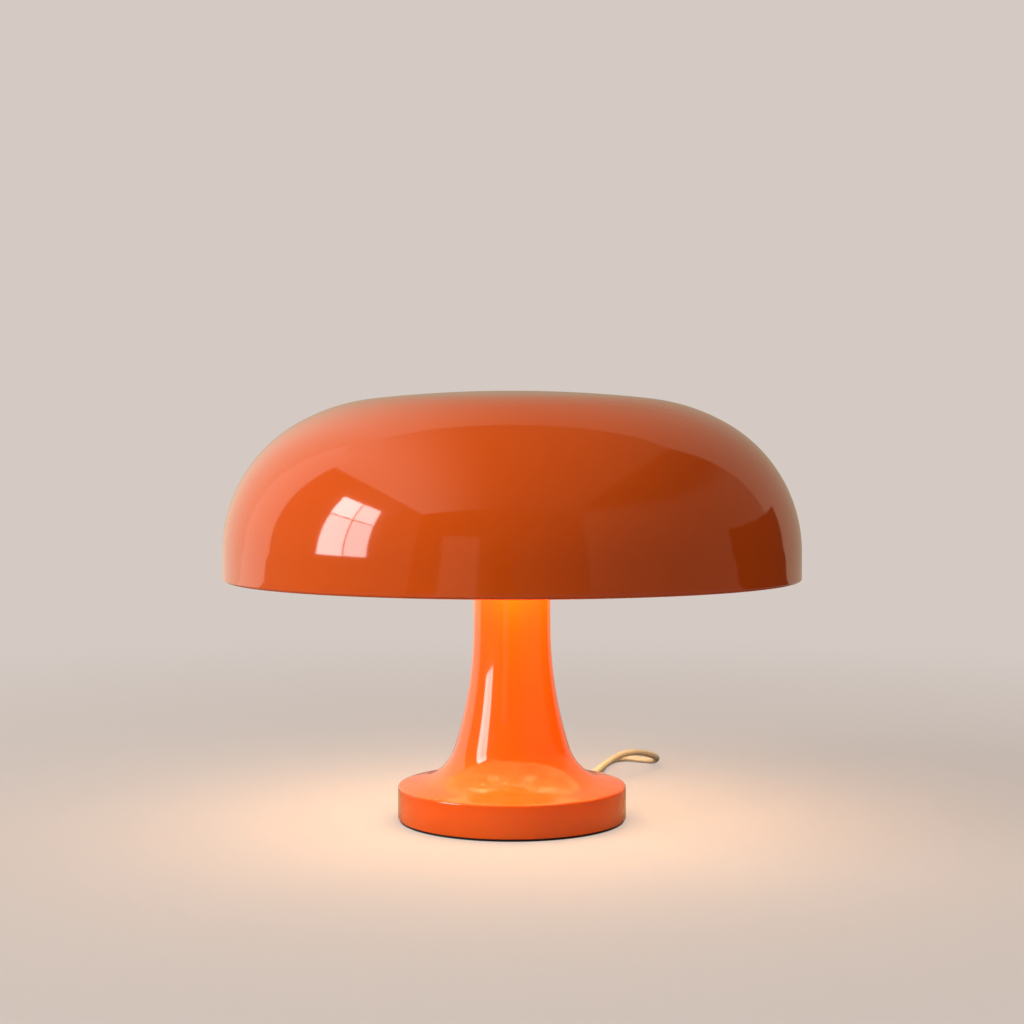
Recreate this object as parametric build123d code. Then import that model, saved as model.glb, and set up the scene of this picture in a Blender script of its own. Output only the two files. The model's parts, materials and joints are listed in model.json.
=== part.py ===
"""Mushroom table lamp: a moulded stem and base, a four-way lamp carrier and a lift-off shade.

Millimetres, +Z up, origin on the table under the lamp's axis, -Y towards the viewer.
"""

from build123d import *
from math import asin, atan2, cos, degrees, pi, radians, sin, tan
import os

# ---------------------------------------------------------------- driving dimensions

# overall form
total_height = 239.0
shade_radius = 160.0
shade_wall = 3.0
shade_rim_height = 135.0
crown_curve = 692.0  # radius of the flat top's curve
shoulder_curve = 105.5
side_curve = 81.3
side_start_angle = 30.9  # tilt of the surface where the shoulder turns into the side
rim_round = 1.2

# stem and base moulding
stem_radius = 21.5
disc_radius = 63.75
body_wall = 3.0
foot_height = 1.2
edge_height = 19.4  # height of the disc's upper corner, before it is rounded
edge_round = 1.5
disc_slope = 10.66  # the disc's top rises to the stem by this angle
foot_blend_curve = 27.9
foot_blend_end = 17.36  # tilt from upright where the foot blend meets the trumpet
trumpet_curve = 231.7
stem_top = 150.0

# inside of the base
rib_count = 6
rib_thickness = 2.0
rib_bottom = 15.0
rib_top = 30.0
guide_ring_wall = 2.6
boss_circle = 46.0
boss_radius = 4.2
boss_pilot = 1.4
cover_screw_count = 4
cover_thickness = 2.2
cover_gap = 0.3
cover_lip_wall = 1.8
cover_lip_height = 1.6
screw_head_radius = 3.2
screw_shank_radius = 1.7
screw_length = 12.0
foot_ring_inner = 51.0
foot_ring_inset = 0.85
weight_radius = 56.0
weight_bottom = 5.0
weight_web = 3.0
weight_gap = 1.8
weight_chamfer = 1.5

# threaded tube and its nuts
tube_radius = 5.0
tube_bore = 3.8
tube_gap = 0.2
nut_wall = 2.0
nut_thickness = 3.5
washer_width = 4.5  # from the tube out
washer_thickness = 1.3
thread_beyond_nut = 0.8

# lamp carrier
hub_foot = 6.45  # from the stem's top up to the lampholder tubes
hub_rim = 2.45  # from the tubes up to the lid
hub_wall = 2.8
hub_floor = 4.0
spigot_length = 10.0
spigot_gap = 0.2
arm_wall = 2.4
arm_reach = 40.0
lamp_count = 4
first_lamp_angle = 45.0
arm_rib_thickness = 2.0

# lampholders and bulbs
holder_radius = 13.0
holder_gap = 0.15
holder_tail = 19.0
holder_collar_width = 2.4
holder_collar = 3.0
holder_reach = 52.0
socket_radius = 7.8
socket_depth = 25.0
sleeve_wall = 0.45
cap_radius = 6.95
cap_length = 23.3
cap_tip_gap = 0.3
globe_radius = 22.5
bulb_length = 78.0
neck_radius = 8.3
glass_wall = 0.9

# shade post
post_radius = 8.0
post_above_seat = 33.0
post_lid = 3.0
post_cone_height = 3.2
post_fit = 0.08
shade_boss_wall = 3.3
seat_ring_height = 1.5
seat_ring_gap = 0.3
shade_gusset_count = 8
shade_gusset_reach = 50.0
shade_gusset_thickness = 2.0

# cord and what is on it
cord_radius = 2.0
cord_exit_angle = 60.0
cord_exit_height = 9.5
bush_neck_radius = 3.9
bush_length = 20.0
bush_root_radius = 4.6
bush_tip_radius = 2.9
bush_flange = 1.6
bush_flange_radius = 5.4
bush_rings = 4
bush_groove = 1.2
coil_centre = (-3.0, 155.0)
coil_pitch = 4.6
coil_inner = 10.5
coil_turns_in = 5.0
coil_climb = 0.5
coil_turns_out = 4.5
cord_lay = 0.05  # the cord rests this far above the table

switch_centre = (-4.0, 95.0)
switch_length = 60.0
switch_width = 26.0
switch_height = 15.0
switch_split = 8.0
switch_wall = 1.8
switch_cord_height = 6.5
switch_end_width = 12.0
switch_taper = 14.0  # length of each drawn-in end
switch_screw_places = [(-15.0, -6.5), (15.0, 6.5)]
switch_peg_radius = 2.3
switch_screw_radius = 0.8
switch_head_radius = 1.5
rocker_radius = 7.6
rocker_width = 9.0
rocker_axis_height = 10.2
rocker_tilt = 8.0
rocker_gap = 0.3
rocker_pin_radius = 1.2
rocker_pin_fit = 0.05

plug_centre_x = -3.0
plug_face_y = 222.0
plug_length = 37.0
plug_width = 35.3
plug_thickness = 13.7
plug_tail_width = 13.0
pin_radius = 2.0
pin_spacing = 18.6
pin_length = 19.0

# ---------------------------------------------------------------- helpers

os.makedirs("parts", exist_ok=True)


def save(name, shape):
    """Write one node's solids to its own file."""
    shape.label = name
    export_step(shape, f"parts/{name}.step")


def group(solids):
    """Separate solids that share one node."""
    return Compound(children=list(solids))


def on_arc(centre, radius, angle):
    """Point of an arc in the (radius, height) plane; the angle is from upright."""
    return (centre[0] + radius * sin(radians(angle)), centre[1] + radius * cos(radians(angle)))


def polar(radius, angle, height=0.0):
    """Point at a radius and azimuth about the lamp's axis."""
    return (radius * cos(radians(angle)), radius * sin(radians(angle)), height)


def turned(outline):
    """Solid of revolution about Z of edges drawn in the (radius, height) plane."""
    face = make_face([Plane.XZ * edge for edge in outline])
    return revolve(face, axis=Axis.Z)


def turned_points(points):
    """Solid of revolution about Z of a polygon of (radius, height) points."""
    return turned([Polyline(*points, close=True)])


def disc(radius, bottom, top, hole=0.0):
    """Flat ring or plate between two heights."""
    plate = Pos(0, 0, bottom) * Cylinder(radius, top - bottom, align=(Align.CENTER, Align.CENTER, Align.MIN))
    if hole > 0:
        plate -= Pos(0, 0, bottom) * Cylinder(hole, top - bottom, align=(Align.CENTER, Align.CENTER, Align.MIN))
    return plate


def block(x_range, y_range, z_range):
    """Box given by its low and high limits."""
    sizes = [high - low for low, high in (x_range, y_range, z_range)]
    middles = [(high + low) / 2 for low, high in (x_range, y_range, z_range)]
    return Pos(*middles) * Box(*sizes)


def along(radius, start, end):
    """Cylinder between two points."""
    start, end = Vector(*start), Vector(*end)
    plane = Plane(origin=start, z_dir=end - start)
    return plane * Cylinder(radius, (end - start).length, align=(Align.CENTER, Align.CENTER, Align.MIN))


def facing(angle, shape, height=0.0):
    """Turn a shape made along +X to an azimuth and raise it."""
    return Pos(0, 0, height) * Rot(0, 0, angle) * shape


def lying(shape):
    """Lay a shape turned about Z along +X."""
    return Rot(0, 90, 0) * shape


# ---------------------------------------------------------------- outlines of the two mouldings

side_centre_radius = shade_radius - side_curve
crown_angle = degrees(asin(
    (side_centre_radius - (shoulder_curve - side_curve) * sin(radians(side_start_angle)))
    / (crown_curve - shoulder_curve)
))
crown_centre = (0.0, total_height - crown_curve)
shoulder_centre = on_arc(crown_centre, crown_curve - shoulder_curve, crown_angle)
side_centre = on_arc(shoulder_centre, shoulder_curve - side_curve, side_start_angle)


def shade_outline(inset, bottom):
    """Half section of the dome, closed at its axis and at a flat bottom."""
    crown = crown_curve - inset
    shoulder = shoulder_curve - inset
    side = side_curve - inset
    top = on_arc(crown_centre, crown, 0)
    crown_end = on_arc(crown_centre, crown, crown_angle)
    shoulder_end = on_arc(shoulder_centre, shoulder, side_start_angle)
    side_end = on_arc(side_centre, side, 90)
    shoulder_middle = on_arc(shoulder_centre, shoulder, (crown_angle + side_start_angle) / 2)
    side_middle = on_arc(side_centre, side, (side_start_angle + 90) / 2)
    return [
        ThreePointArc(top, on_arc(crown_centre, crown, crown_angle / 2), crown_end),
        ThreePointArc(crown_end, shoulder_middle, shoulder_end),
        ThreePointArc(shoulder_end, side_middle, side_end),
        Line(side_end, (side_end[0], bottom)),
        Line((side_end[0], bottom), (0, bottom)),
        Line((0, bottom), top),
    ]


def crown_underside(radius):
    """Height of the dome's inner surface at a radius within the crown."""
    inner = crown_curve - shade_wall
    return crown_centre[1] + (inner ** 2 - radius ** 2) ** 0.5


slope_end_angle = 90 - disc_slope
trumpet_end_radius = stem_radius + trumpet_curve * (1 - cos(radians(foot_blend_end)))
blend_centre_radius = trumpet_end_radius + foot_blend_curve * cos(radians(foot_blend_end))
slope_end_radius = blend_centre_radius - foot_blend_curve * cos(radians(slope_end_angle))
slope_end_height = edge_height + (disc_radius - slope_end_radius) * tan(radians(disc_slope))
blend_centre = (blend_centre_radius, slope_end_height + foot_blend_curve * sin(radians(slope_end_angle)))
trumpet_start_height = (
    blend_centre[1] - foot_blend_curve * sin(radians(foot_blend_end))
    + trumpet_curve * sin(radians(foot_blend_end))
)
trumpet_centre = (stem_radius + trumpet_curve, trumpet_start_height)


def body_outline(inset, bottom, top):
    """Half section of base and stem, closed at its axis; inset gives the inner surface."""
    trumpet = trumpet_curve + inset
    blend = foot_blend_curve + inset
    bore = stem_radius - inset
    rim = disc_radius - inset
    rim_height = edge_height + inset * (tan(radians(disc_slope)) - 1 / cos(radians(disc_slope)))

    def arc(centre, radius, tilt):
        return (centre[0] - radius * cos(radians(tilt)), centre[1] - radius * sin(radians(tilt)))

    trumpet_start = arc(trumpet_centre, trumpet, 0)
    trumpet_end = arc(trumpet_centre, trumpet, foot_blend_end)
    blend_end = arc(blend_centre, blend, slope_end_angle)
    return [
        Line((0, bottom), (0, top)),
        Line((0, top), (bore, top)),
        Line((bore, top), trumpet_start),
        ThreePointArc(trumpet_start, arc(trumpet_centre, trumpet, foot_blend_end / 2), trumpet_end),
        ThreePointArc(trumpet_end, arc(blend_centre, blend, (foot_blend_end + slope_end_angle) / 2), blend_end),
        Line(blend_end, (rim, rim_height)),
        Line((rim, rim_height), (rim, bottom)),
        Line((rim, bottom), (0, bottom)),
    ]


# ---------------------------------------------------------------- heights worked out from the above

cover_top = foot_height + cover_thickness
weight_top = rib_bottom
web_bottom = weight_top - weight_web
lower_nut_top = web_bottom - washer_thickness
lower_nut_bottom = lower_nut_top - nut_thickness
tube_bottom = lower_nut_bottom - thread_beyond_nut
floor_top = stem_top + hub_floor
upper_nut_bottom = floor_top + washer_thickness
tube_top = upper_nut_bottom + nut_thickness + thread_beyond_nut
washer_radius = tube_radius + washer_width
arm_bore = holder_radius + holder_gap
arm_radius = arm_bore + arm_wall
lamp_axis = stem_top + hub_foot + arm_radius
hub_top = lamp_axis + arm_radius + hub_rim
seat_height = hub_top + post_lid + post_cone_height
boss_bottom = seat_height + seat_ring_height + seat_ring_gap
boss_bore = post_radius + post_fit
boss_outer = boss_bore + shade_boss_wall
body_bore = stem_radius - body_wall
lamp_angles = [first_lamp_angle + 360 / lamp_count * index for index in range(lamp_count)]
cover_screw_angles = [
    cord_exit_angle + 180 / cover_screw_count * (2 * index + 1) for index in range(cover_screw_count)
]
between_lamps = [angle + 180 / lamp_count for angle in lamp_angles]

# clamp and terminals sit in a pocket of the weight that faces the cord's exit
pocket_half_width = 17.0
pocket_start = 13.0
channel_half_width = 5.0
clamp_at = 45.0
clamp_bar = (6.0, 24.0, 2.4)
clamp_screw_offset = 8.0
clamp_boss_radius = 2.6
clamp_screw_radius = 1.1
clamp_head_radius = 2.4
clamp_head_height = 1.4
terminal_inner = 17.0
terminal_length = 18.0
terminal_width = 20.0
terminal_height = 9.0
core_radius = 1.0
core_offset = 4.5
sheath_end = terminal_inner + terminal_length + 4.0


# ---------------------------------------------------------------- stem and base moulding

def make_body():
    """Base, foot blend and stem as one open moulding with ribs, screw bosses and cord exit."""
    solid = turned(body_outline(0, foot_height, stem_top))
    rim_edges = solid.edges().filter_by(GeomType.CIRCLE).group_by(
        lambda edge: round(abs(edge.radius - disc_radius) + abs(edge.center().Z - edge_height), 3))[0]
    solid = fillet(rim_edges, edge_round)
    hollow = turned(body_outline(body_wall, foot_height - 1, stem_top + 1))
    shell = solid - hollow

    inner = []
    for index in range(rib_count):
        angle = cord_exit_angle + 360 / rib_count * (index + 0.5)
        rib = block((tube_radius + tube_gap + guide_ring_wall / 2, disc_radius - body_wall / 2),
                    (-rib_thickness / 2, rib_thickness / 2), (rib_bottom, rib_top))
        inner.append(facing(angle, rib))
    inner.append(disc(tube_radius + tube_gap + guide_ring_wall, rib_bottom, rib_top))
    for angle in cover_screw_angles:
        inner.append(Pos(*polar(boss_circle, angle)) * disc(boss_radius, cover_top, edge_height + rib_top))
    for side in (-1, 1):
        peg = Pos(clamp_at, side * clamp_screw_offset) * disc(
            clamp_boss_radius, cord_exit_height - cord_radius, edge_height + rib_top)
        inner.append(facing(cord_exit_angle, peg))
    saddle = block((clamp_at - 1, clamp_at + 1), (-clamp_screw_offset, clamp_screw_offset),
                   (cord_exit_height + cord_radius + 0.1, rib_top))
    inner.append(facing(cord_exit_angle, saddle))

    kept = Part() + inner
    body = shell + (kept & solid)
    body -= disc(tube_radius + tube_gap, 0, rib_top + 1)
    for angle in cover_screw_angles:
        body -= Pos(*polar(boss_circle, angle)) * disc(boss_pilot, 0, cover_top + screw_length)
    for side in (-1, 1):
        pilot = Pos(clamp_at, side * clamp_screw_offset) * disc(clamp_screw_radius, 0, rib_bottom)
        body -= facing(cord_exit_angle, pilot)
    exit_hole = along(bush_neck_radius + 0.1, (disc_radius - 2 * body_wall, 0, 0), (disc_radius + 2, 0, 0))
    body -= facing(cord_exit_angle, exit_hole, cord_exit_height)
    return body


# ---------------------------------------------------------------- base fittings

def make_cover():
    """Plate that closes the base, with a locating lip and countersunk holes."""
    outer = disc_radius - body_wall - cover_gap
    plate = disc(outer, foot_height, cover_top)
    lip = disc(outer, cover_top, cover_top + cover_lip_height, outer - cover_lip_wall)
    bush_room = block((outer - 2 * cover_lip_wall, outer + 1), (-bush_flange_radius - 1, bush_flange_radius + 1),
                      (cover_top, cord_exit_height))
    plate += lip - facing(cord_exit_angle, bush_room)
    for angle in cover_screw_angles:
        place = Pos(*polar(boss_circle, angle))
        plate -= place * disc(screw_shank_radius + 0.2, 0, cover_top + 1)
        sink = turned_points([
            (0, foot_height - 0.1), (screw_head_radius + 0.2, foot_height - 0.1),
            (screw_head_radius + 0.2, foot_height + 0.2),
            (screw_shank_radius + 0.2, foot_height + 1.9), (0, foot_height + 1.9),
        ])
        plate -= place * sink
    return plate


def make_cover_screw():
    """Countersunk screw with its head flush in the bottom cover."""
    head_bottom = foot_height + 0.1
    tip = cover_top + screw_length - 1
    return turned_points([
        (0, head_bottom), (screw_head_radius, head_bottom), (boss_pilot, head_bottom + 2.1), (boss_pilot, tip), (0, tip),
    ])


def make_weight():
    """Cast weight with a nut recess, screw clearances and a pocket for the terminals."""
    weight = disc(weight_radius, weight_bottom, weight_top, tube_radius + tube_gap)
    rim = weight.edges().filter_by(GeomType.CIRCLE).filter_by(lambda edge: edge.radius > weight_radius - 1)
    weight = chamfer(rim, weight_chamfer)
    weight -= disc(washer_radius + 1.5, weight_bottom - 1, web_bottom)
    for angle in cover_screw_angles:
        weight -= Pos(*polar(boss_circle, angle)) * disc(boss_radius + weight_gap, 0, weight_top + 1)
    pocket = block((pocket_start, weight_radius + 5), (-pocket_half_width, pocket_half_width), (0, weight_top + 1))
    channel = block((0, pocket_start + 1), (-channel_half_width, channel_half_width), (0, web_bottom))
    weight -= facing(cord_exit_angle, pocket)
    weight -= facing(cord_exit_angle, channel)
    return weight


def make_nut(bottom):
    """Six-sided nut on the threaded tube."""
    outline = RegularPolygon(tube_radius + nut_wall, 6, major_radius=False)
    nut = Pos(0, 0, bottom) * extrude(outline, nut_thickness)
    return nut - disc(tube_radius, bottom - 1, bottom + nut_thickness + 1)


def make_bush():
    """Soft bush in the base's wall, with a ribbed taper outside."""
    wall_inner = disc_radius - body_wall
    inner_start = wall_inner - 0.5 - bush_flange
    outer_start = disc_radius + 0.35
    bush_end = outer_start + bush_flange + bush_length
    points = [
        (cord_radius + 0.1, inner_start), (bush_flange_radius, inner_start),
        (bush_flange_radius, inner_start + bush_flange), (bush_neck_radius, inner_start + bush_flange),
        (bush_neck_radius, outer_start), (bush_root_radius + 1, outer_start),
        (bush_root_radius + 1, outer_start + bush_flange),
    ]
    for index in range(bush_rings):
        low = outer_start + bush_flange + bush_length * index / bush_rings
        high = outer_start + bush_flange + bush_length * (index + 1) / bush_rings
        low_radius = bush_root_radius + (bush_tip_radius - bush_root_radius) * index / bush_rings
        high_radius = bush_root_radius + (bush_tip_radius - bush_root_radius) * (index + 1) / bush_rings
        points += [(low_radius, low), (high_radius, high - bush_groove)]
        if index < bush_rings - 1:
            points += [(high_radius - bush_groove / 2, high - bush_groove), (high_radius - bush_groove / 2, high)]
    points += [(bush_tip_radius, bush_end), (cord_radius + 0.1, bush_end)]
    return facing(cord_exit_angle, lying(turned_points(points)), cord_exit_height), bush_end


def make_clamp():
    """Bar that presses the cord up against its saddle."""
    length, width, height = clamp_bar
    top = cord_exit_height - cord_radius
    bar = block((clamp_at - length / 2, clamp_at + length / 2), (-width / 2, width / 2), (top - height, top))
    bar = fillet(bar.edges().filter_by(Axis.Z), length / 2 - 0.2)
    for side in (-1, 1):
        bar -= Pos(clamp_at, side * clamp_screw_offset) * disc(clamp_screw_radius + 0.15, 0, top + 1)
    return facing(cord_exit_angle, bar)


def make_clamp_screws():
    """The two pan-head screws of the clamp bar."""
    seat = cord_exit_height - cord_radius - clamp_bar[2]
    screws = []
    for side in (-1, 1):
        screw = turned_points([
            (0, seat - clamp_head_height), (clamp_head_radius, seat - clamp_head_height),
            (clamp_head_radius, seat), (clamp_screw_radius, seat), (clamp_screw_radius, rib_bottom - 1),
            (0, rib_bottom - 1),
        ])
        screws.append(facing(cord_exit_angle, Pos(clamp_at, side * clamp_screw_offset) * screw))
    return group(screws)


def make_terminal_block():
    """Two-way terminal block with wire holes and screw wells."""
    outer_end = terminal_inner + terminal_length
    body = block((terminal_inner, outer_end), (-terminal_width / 2, terminal_width / 2),
                 (cover_top, cover_top + terminal_height))
    body -= block((terminal_inner - 1, outer_end + 1), (-1.2, 1.2), (cover_top + 3, cover_top + terminal_height + 1))
    wire_height = cover_top + terminal_height / 2
    for side in (-1, 1):
        hole = along(core_radius + 0.4, (terminal_inner - 1, side * core_offset, wire_height),
                     (outer_end + 1, side * core_offset, wire_height))
        body -= hole
        for place in (0.25, 0.75):
            at = terminal_inner + terminal_length * place
            body -= Pos(at, side * core_offset) * disc(1.7, wire_height, cover_top + terminal_height + 1)
    return facing(cord_exit_angle, body)


def make_terminal_screws():
    """Four clamp screws down in the block's wells."""
    wire_height = cover_top + terminal_height / 2
    bottom = wire_height + core_radius + 0.1
    screws = []
    for side in (-1, 1):
        for place in (0.25, 0.75):
            at = terminal_inner + terminal_length * place
            screw = disc(1.5, bottom, cover_top + terminal_height - 0.6)
            screw -= block((-2, 2), (-0.25, 0.25), (cover_top + terminal_height - 1.2, cover_top + terminal_height))
            screws.append(facing(cord_exit_angle, Pos(at, side * core_offset) * screw))
    return group(screws)


def make_cores():
    """The two stripped cores between the cord's sheath and the terminals."""
    wire_height = cover_top + terminal_height / 2
    inside = terminal_inner + terminal_length * 0.6
    cores = []
    for side in (-1, 1):
        points = [
            (inside, side * core_offset, wire_height),
            (terminal_inner + terminal_length + 0.8, side * core_offset, wire_height),
            (sheath_end - 0.8, side * core_radius, cord_exit_height),
            (sheath_end, side * core_radius, cord_exit_height),
        ]
        path = FilletPolyline(*points, radius=[0.6, 0.6])
        wire = sweep(Plane(origin=points[0], z_dir=(1, 0, 0)) * RegularPolygon(core_radius * 0.9, 6), path=path)
        cores.append(facing(cord_exit_angle, wire))
    return group(cores)


def make_riser_wires():
    """Two wires from the terminals, in under the threaded tube and up to the junction block."""
    wire_height = cover_top + terminal_height / 2
    under_tube = (cover_top + tube_bottom) / 2
    wires = []
    for side in (-1, 1):
        points = [
            (terminal_inner + terminal_length * 0.4, side * core_offset, wire_height),
            (terminal_inner - 2, side * core_offset, wire_height),
            (pocket_start - 1, side * 2.2, under_tube),
            (0, side * 1.6, under_tube),
            (0, side * 1.6, junction_bottom),
        ]
        path = FilletPolyline(*points, radius=[1.6, 1.6, 1.5])
        wire = sweep(Plane(origin=points[0], z_dir=(-1, 0, 0)) * RegularPolygon(core_radius * 0.9, 6), path=path)
        wires.append(facing(cord_exit_angle, wire))
    return group(wires)


# ---------------------------------------------------------------- head of the lamp

junction_size = 14.0
junction_height = 8.0
junction_bottom = lamp_axis - junction_height / 2
lead_radius = 0.9
lead_offset = 3.2
hub_bore = stem_radius - hub_wall
lid_boss_circle = hub_bore - 2.3
lid_boss_radius = 2.9
lid_boss_pilot = 1.2
lid_boss_height = 14.0
lid_head_radius = 2.5


def make_carrier():
    """Hub with four radial tubes for the lampholders, a spigot below and gussets under the tubes."""
    shape = disc(stem_radius, stem_top, hub_top)
    shape += disc(body_bore - spigot_gap, stem_top - spigot_length, stem_top)
    for angle in lamp_angles:
        shape += facing(angle, along(arm_radius, (0, 0, 0), (arm_reach, 0, 0)), lamp_axis)
        gusset = Plane.XZ * make_face(Polyline(
            (stem_radius - 1, stem_top + 1), (stem_radius, stem_top + 1),
            (arm_reach - 4, lamp_axis - arm_radius + 1), (stem_radius - 1, lamp_axis - arm_radius + 1),
            close=True))
        shape += facing(angle, extrude(gusset, arm_rib_thickness / 2, both=True))
    shape -= disc(hub_bore, floor_top, hub_top + 1)
    shape -= disc(body_bore - spigot_gap - 2.5, stem_top - spigot_length - 1, stem_top - 1)
    for angle in between_lamps[::2]:
        boss = Pos(*polar(lid_boss_circle, angle)) * disc(lid_boss_radius, hub_top - lid_boss_height, hub_top)
        shape += boss & disc(stem_radius - 0.1, hub_top - lid_boss_height, hub_top)
    for angle in lamp_angles:
        bore_start = hub_bore - 4
        shape -= facing(angle, along(arm_bore, (bore_start, 0, 0), (arm_reach + 1, 0, 0)), lamp_axis)
    for angle in between_lamps[::2]:
        shape -= Pos(*polar(lid_boss_circle, angle)) * disc(lid_boss_pilot, hub_top - 12, hub_top + 1)
    shape -= disc(tube_radius + tube_gap, stem_top - spigot_length - 1, floor_top + 1)
    return shape


def make_post():
    """Lid of the hub with the post that the shade drops onto."""
    post_top = seat_height + seat_ring_height + post_above_seat
    shape = turned_points([
        (0, hub_top), (stem_radius, hub_top), (stem_radius, hub_top + post_lid - 0.8),
        (stem_radius - 0.8, hub_top + post_lid), (boss_outer + 3, hub_top + post_lid),
        (boss_outer, seat_height), (post_radius, seat_height), (post_radius, post_top - 1.5),
        (post_radius - 1.5, post_top), (0, post_top),
    ])
    shape += disc(hub_bore - 0.3, hub_top - 2.5, hub_top, hub_bore - 2.3)
    for angle in between_lamps[::2]:
        place = Pos(*polar(lid_boss_circle, angle))
        shape -= place * disc(lid_boss_radius + 0.3, hub_top - 3, hub_top)
        shape -= place * disc(lid_boss_pilot + 0.3, hub_top - 1, hub_top + post_lid + 1)
        shape -= place * disc(lid_head_radius + 0.2, hub_top + 1.5, hub_top + post_lid + post_cone_height + 1)
    shape -= disc(post_radius - 3, hub_top - 1, post_top - 4)
    return shape


def make_lid_screws():
    """Screws that hold the post's lid to the hub."""
    seat = hub_top + 1.5
    screws = []
    for angle in between_lamps[::2]:
        screw = turned_points([
            (0, hub_top - 9), (lid_boss_pilot, hub_top - 9), (lid_boss_pilot, seat), (lid_head_radius, seat),
            (lid_head_radius, seat + 1.4), (0, seat + 1.4),
        ])
        screws.append(Pos(*polar(lid_boss_circle, angle)) * screw)
    return group(screws)


def make_holder():
    """Lampholder along +X: stepped sleeve with collar, deep socket and a closed tail."""
    socket_floor = holder_reach - socket_depth
    shape = lying(turned_points([
        (0, holder_tail), (holder_radius - 1, holder_tail), (holder_radius, holder_tail + 1),
        (holder_radius, arm_reach), (holder_radius + holder_collar_width, arm_reach),
        (holder_radius + holder_collar_width, arm_reach + holder_collar), (holder_radius, arm_reach + holder_collar + 0.6),
        (socket_radius + 2.4, holder_reach - 0.8), (socket_radius + 1.6, holder_reach),
        (socket_radius, holder_reach), (socket_radius, socket_floor), (0, socket_floor),
    ]))
    return shape


def make_sleeve():
    """Threaded metal sleeve inside a lampholder."""
    socket_floor = holder_reach - socket_depth
    return lying(disc(socket_radius - 0.05, socket_floor + 1, holder_reach - 2,
                      socket_radius - 0.05 - sleeve_wall))


def make_contact():
    """Sprung centre contact on the socket's floor: a strip bent up to the bulb's tip."""
    socket_floor = holder_reach - socket_depth
    tip_at = bulb_tip - cap_tip_gap
    strip = Plane.XY * make_face(Polyline(
        (socket_floor, -5), (socket_floor + 0.5, -5), (socket_floor + 0.5, -3), (tip_at, -1),
        (tip_at, 1.5), (tip_at - 0.5, 1.5), (tip_at - 0.5, -1), (socket_floor, -3), close=True))
    return extrude(strip, 1.5, both=True)


bulb_tip = holder_reach - socket_depth + 2.2
globe_centre = bulb_tip + bulb_length - globe_radius
glass_start = bulb_tip + cap_length
throat_curve = 14.0


def make_bulb_cap():
    """Metal cap of a bulb along +X: centre tip, insulating cone and threaded shell."""
    shell_start = bulb_tip + 3.5
    return lying(turned_points([
        (0, bulb_tip), (2.0, bulb_tip), (2.4, bulb_tip + 0.4), (2.4, bulb_tip + 1.2), (4.6, bulb_tip + 2.2),
        (cap_radius - 0.6, shell_start), (cap_radius, shell_start + 0.6), (cap_radius, glass_start), (0, glass_start),
    ]))


def bulb_outline(inset):
    """Half section of the glass: neck, throat curve and globe, drawn as (radius, distance)."""
    globe = globe_radius - inset
    neck = neck_radius - inset
    throat = throat_curve + inset
    reach = globe + throat
    across = neck + throat
    throat_at = globe_centre - (reach ** 2 - across ** 2) ** 0.5
    tilt = degrees(atan2(globe_centre - throat_at, across))
    joint = (across - throat * cos(radians(tilt)), throat_at + throat * sin(radians(tilt)))
    middle = (across - throat * cos(radians(tilt / 2)), throat_at + throat * sin(radians(tilt / 2)))
    start = glass_start + inset
    tip = (0, globe_centre + globe)
    side = (globe, globe_centre)
    half = (globe * cos(radians(45)), globe_centre + globe * sin(radians(45)))
    low = (globe * cos(radians(tilt / 2)), globe_centre - globe * sin(radians(tilt / 2)))
    return [
        Line((0, start), (neck, start)),
        Line((neck, start), (neck, throat_at)),
        ThreePointArc((neck, throat_at), middle, joint),
        ThreePointArc(joint, low, side),
        ThreePointArc(side, half, tip),
        Line(tip, (0, start)),
    ]


def make_bulb_glass():
    """Thin hollow glass of a bulb along +X."""
    return lying(turned(bulb_outline(0)) - turned(bulb_outline(glass_wall)))


def make_junction():
    """Junction block at the head of the riser wires, square on to the lampholders."""
    half = junction_size / 2
    shape = block((-half, half), (-half, half), (junction_bottom, junction_bottom + junction_height))
    shape = chamfer(shape.edges().filter_by(Axis.Z), 1.5)
    return Rot(0, 0, first_lamp_angle) * shape


def make_leads():
    """Two short leads from the junction block to each lampholder's tail."""
    leads = []
    for angle in lamp_angles:
        for side in (-1, 1):
            start = Plane(origin=(junction_size / 2, side * lead_offset, 0), z_dir=(1, 0, 0))
            lead = extrude(start * RegularPolygon(lead_radius, 6), holder_tail - junction_size / 2)
            leads.append(facing(angle, lead, lamp_axis))
    return group(leads)


def make_shade():
    """Domed shell with a blind boss that drops over the post, stiffened by gussets."""
    outer = turned(shade_outline(0, shade_rim_height))
    rim_outer = outer.edges().filter_by(GeomType.CIRCLE).group_by(lambda edge: round(edge.center().Z, 3))[0]
    outer = fillet(rim_outer, rim_round)
    hollow = turned(shade_outline(shade_wall, shade_rim_height - 1))
    shape = outer - hollow
    boss = disc(boss_outer, boss_bottom, total_height)
    gussets = []
    for index in range(shade_gusset_count):
        profile = make_face(Plane.XZ * Polyline(
            (boss_bore + 1, boss_bottom + 4), (boss_outer + 0.5, boss_bottom + 4),
            (shade_gusset_reach, crown_underside(shade_gusset_reach) - 0.6),
            (shade_gusset_reach, total_height), (boss_bore + 1, total_height), close=True))
        gusset = extrude(profile, shade_gusset_thickness / 2, both=True)
        gussets.append(facing(360 / shade_gusset_count * (index + 0.5), gusset))
    inner = Part() + [boss] + gussets
    shape += inner & outer
    shape -= disc(boss_bore, boss_bottom - 1, crown_underside(0))
    return shape


# ---------------------------------------------------------------- cord

cord_low = cord_radius + cord_lay
coil_step_up = 2 * cord_radius + 0.5
coil_turns_total = coil_turns_in + coil_climb + coil_turns_out


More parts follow.
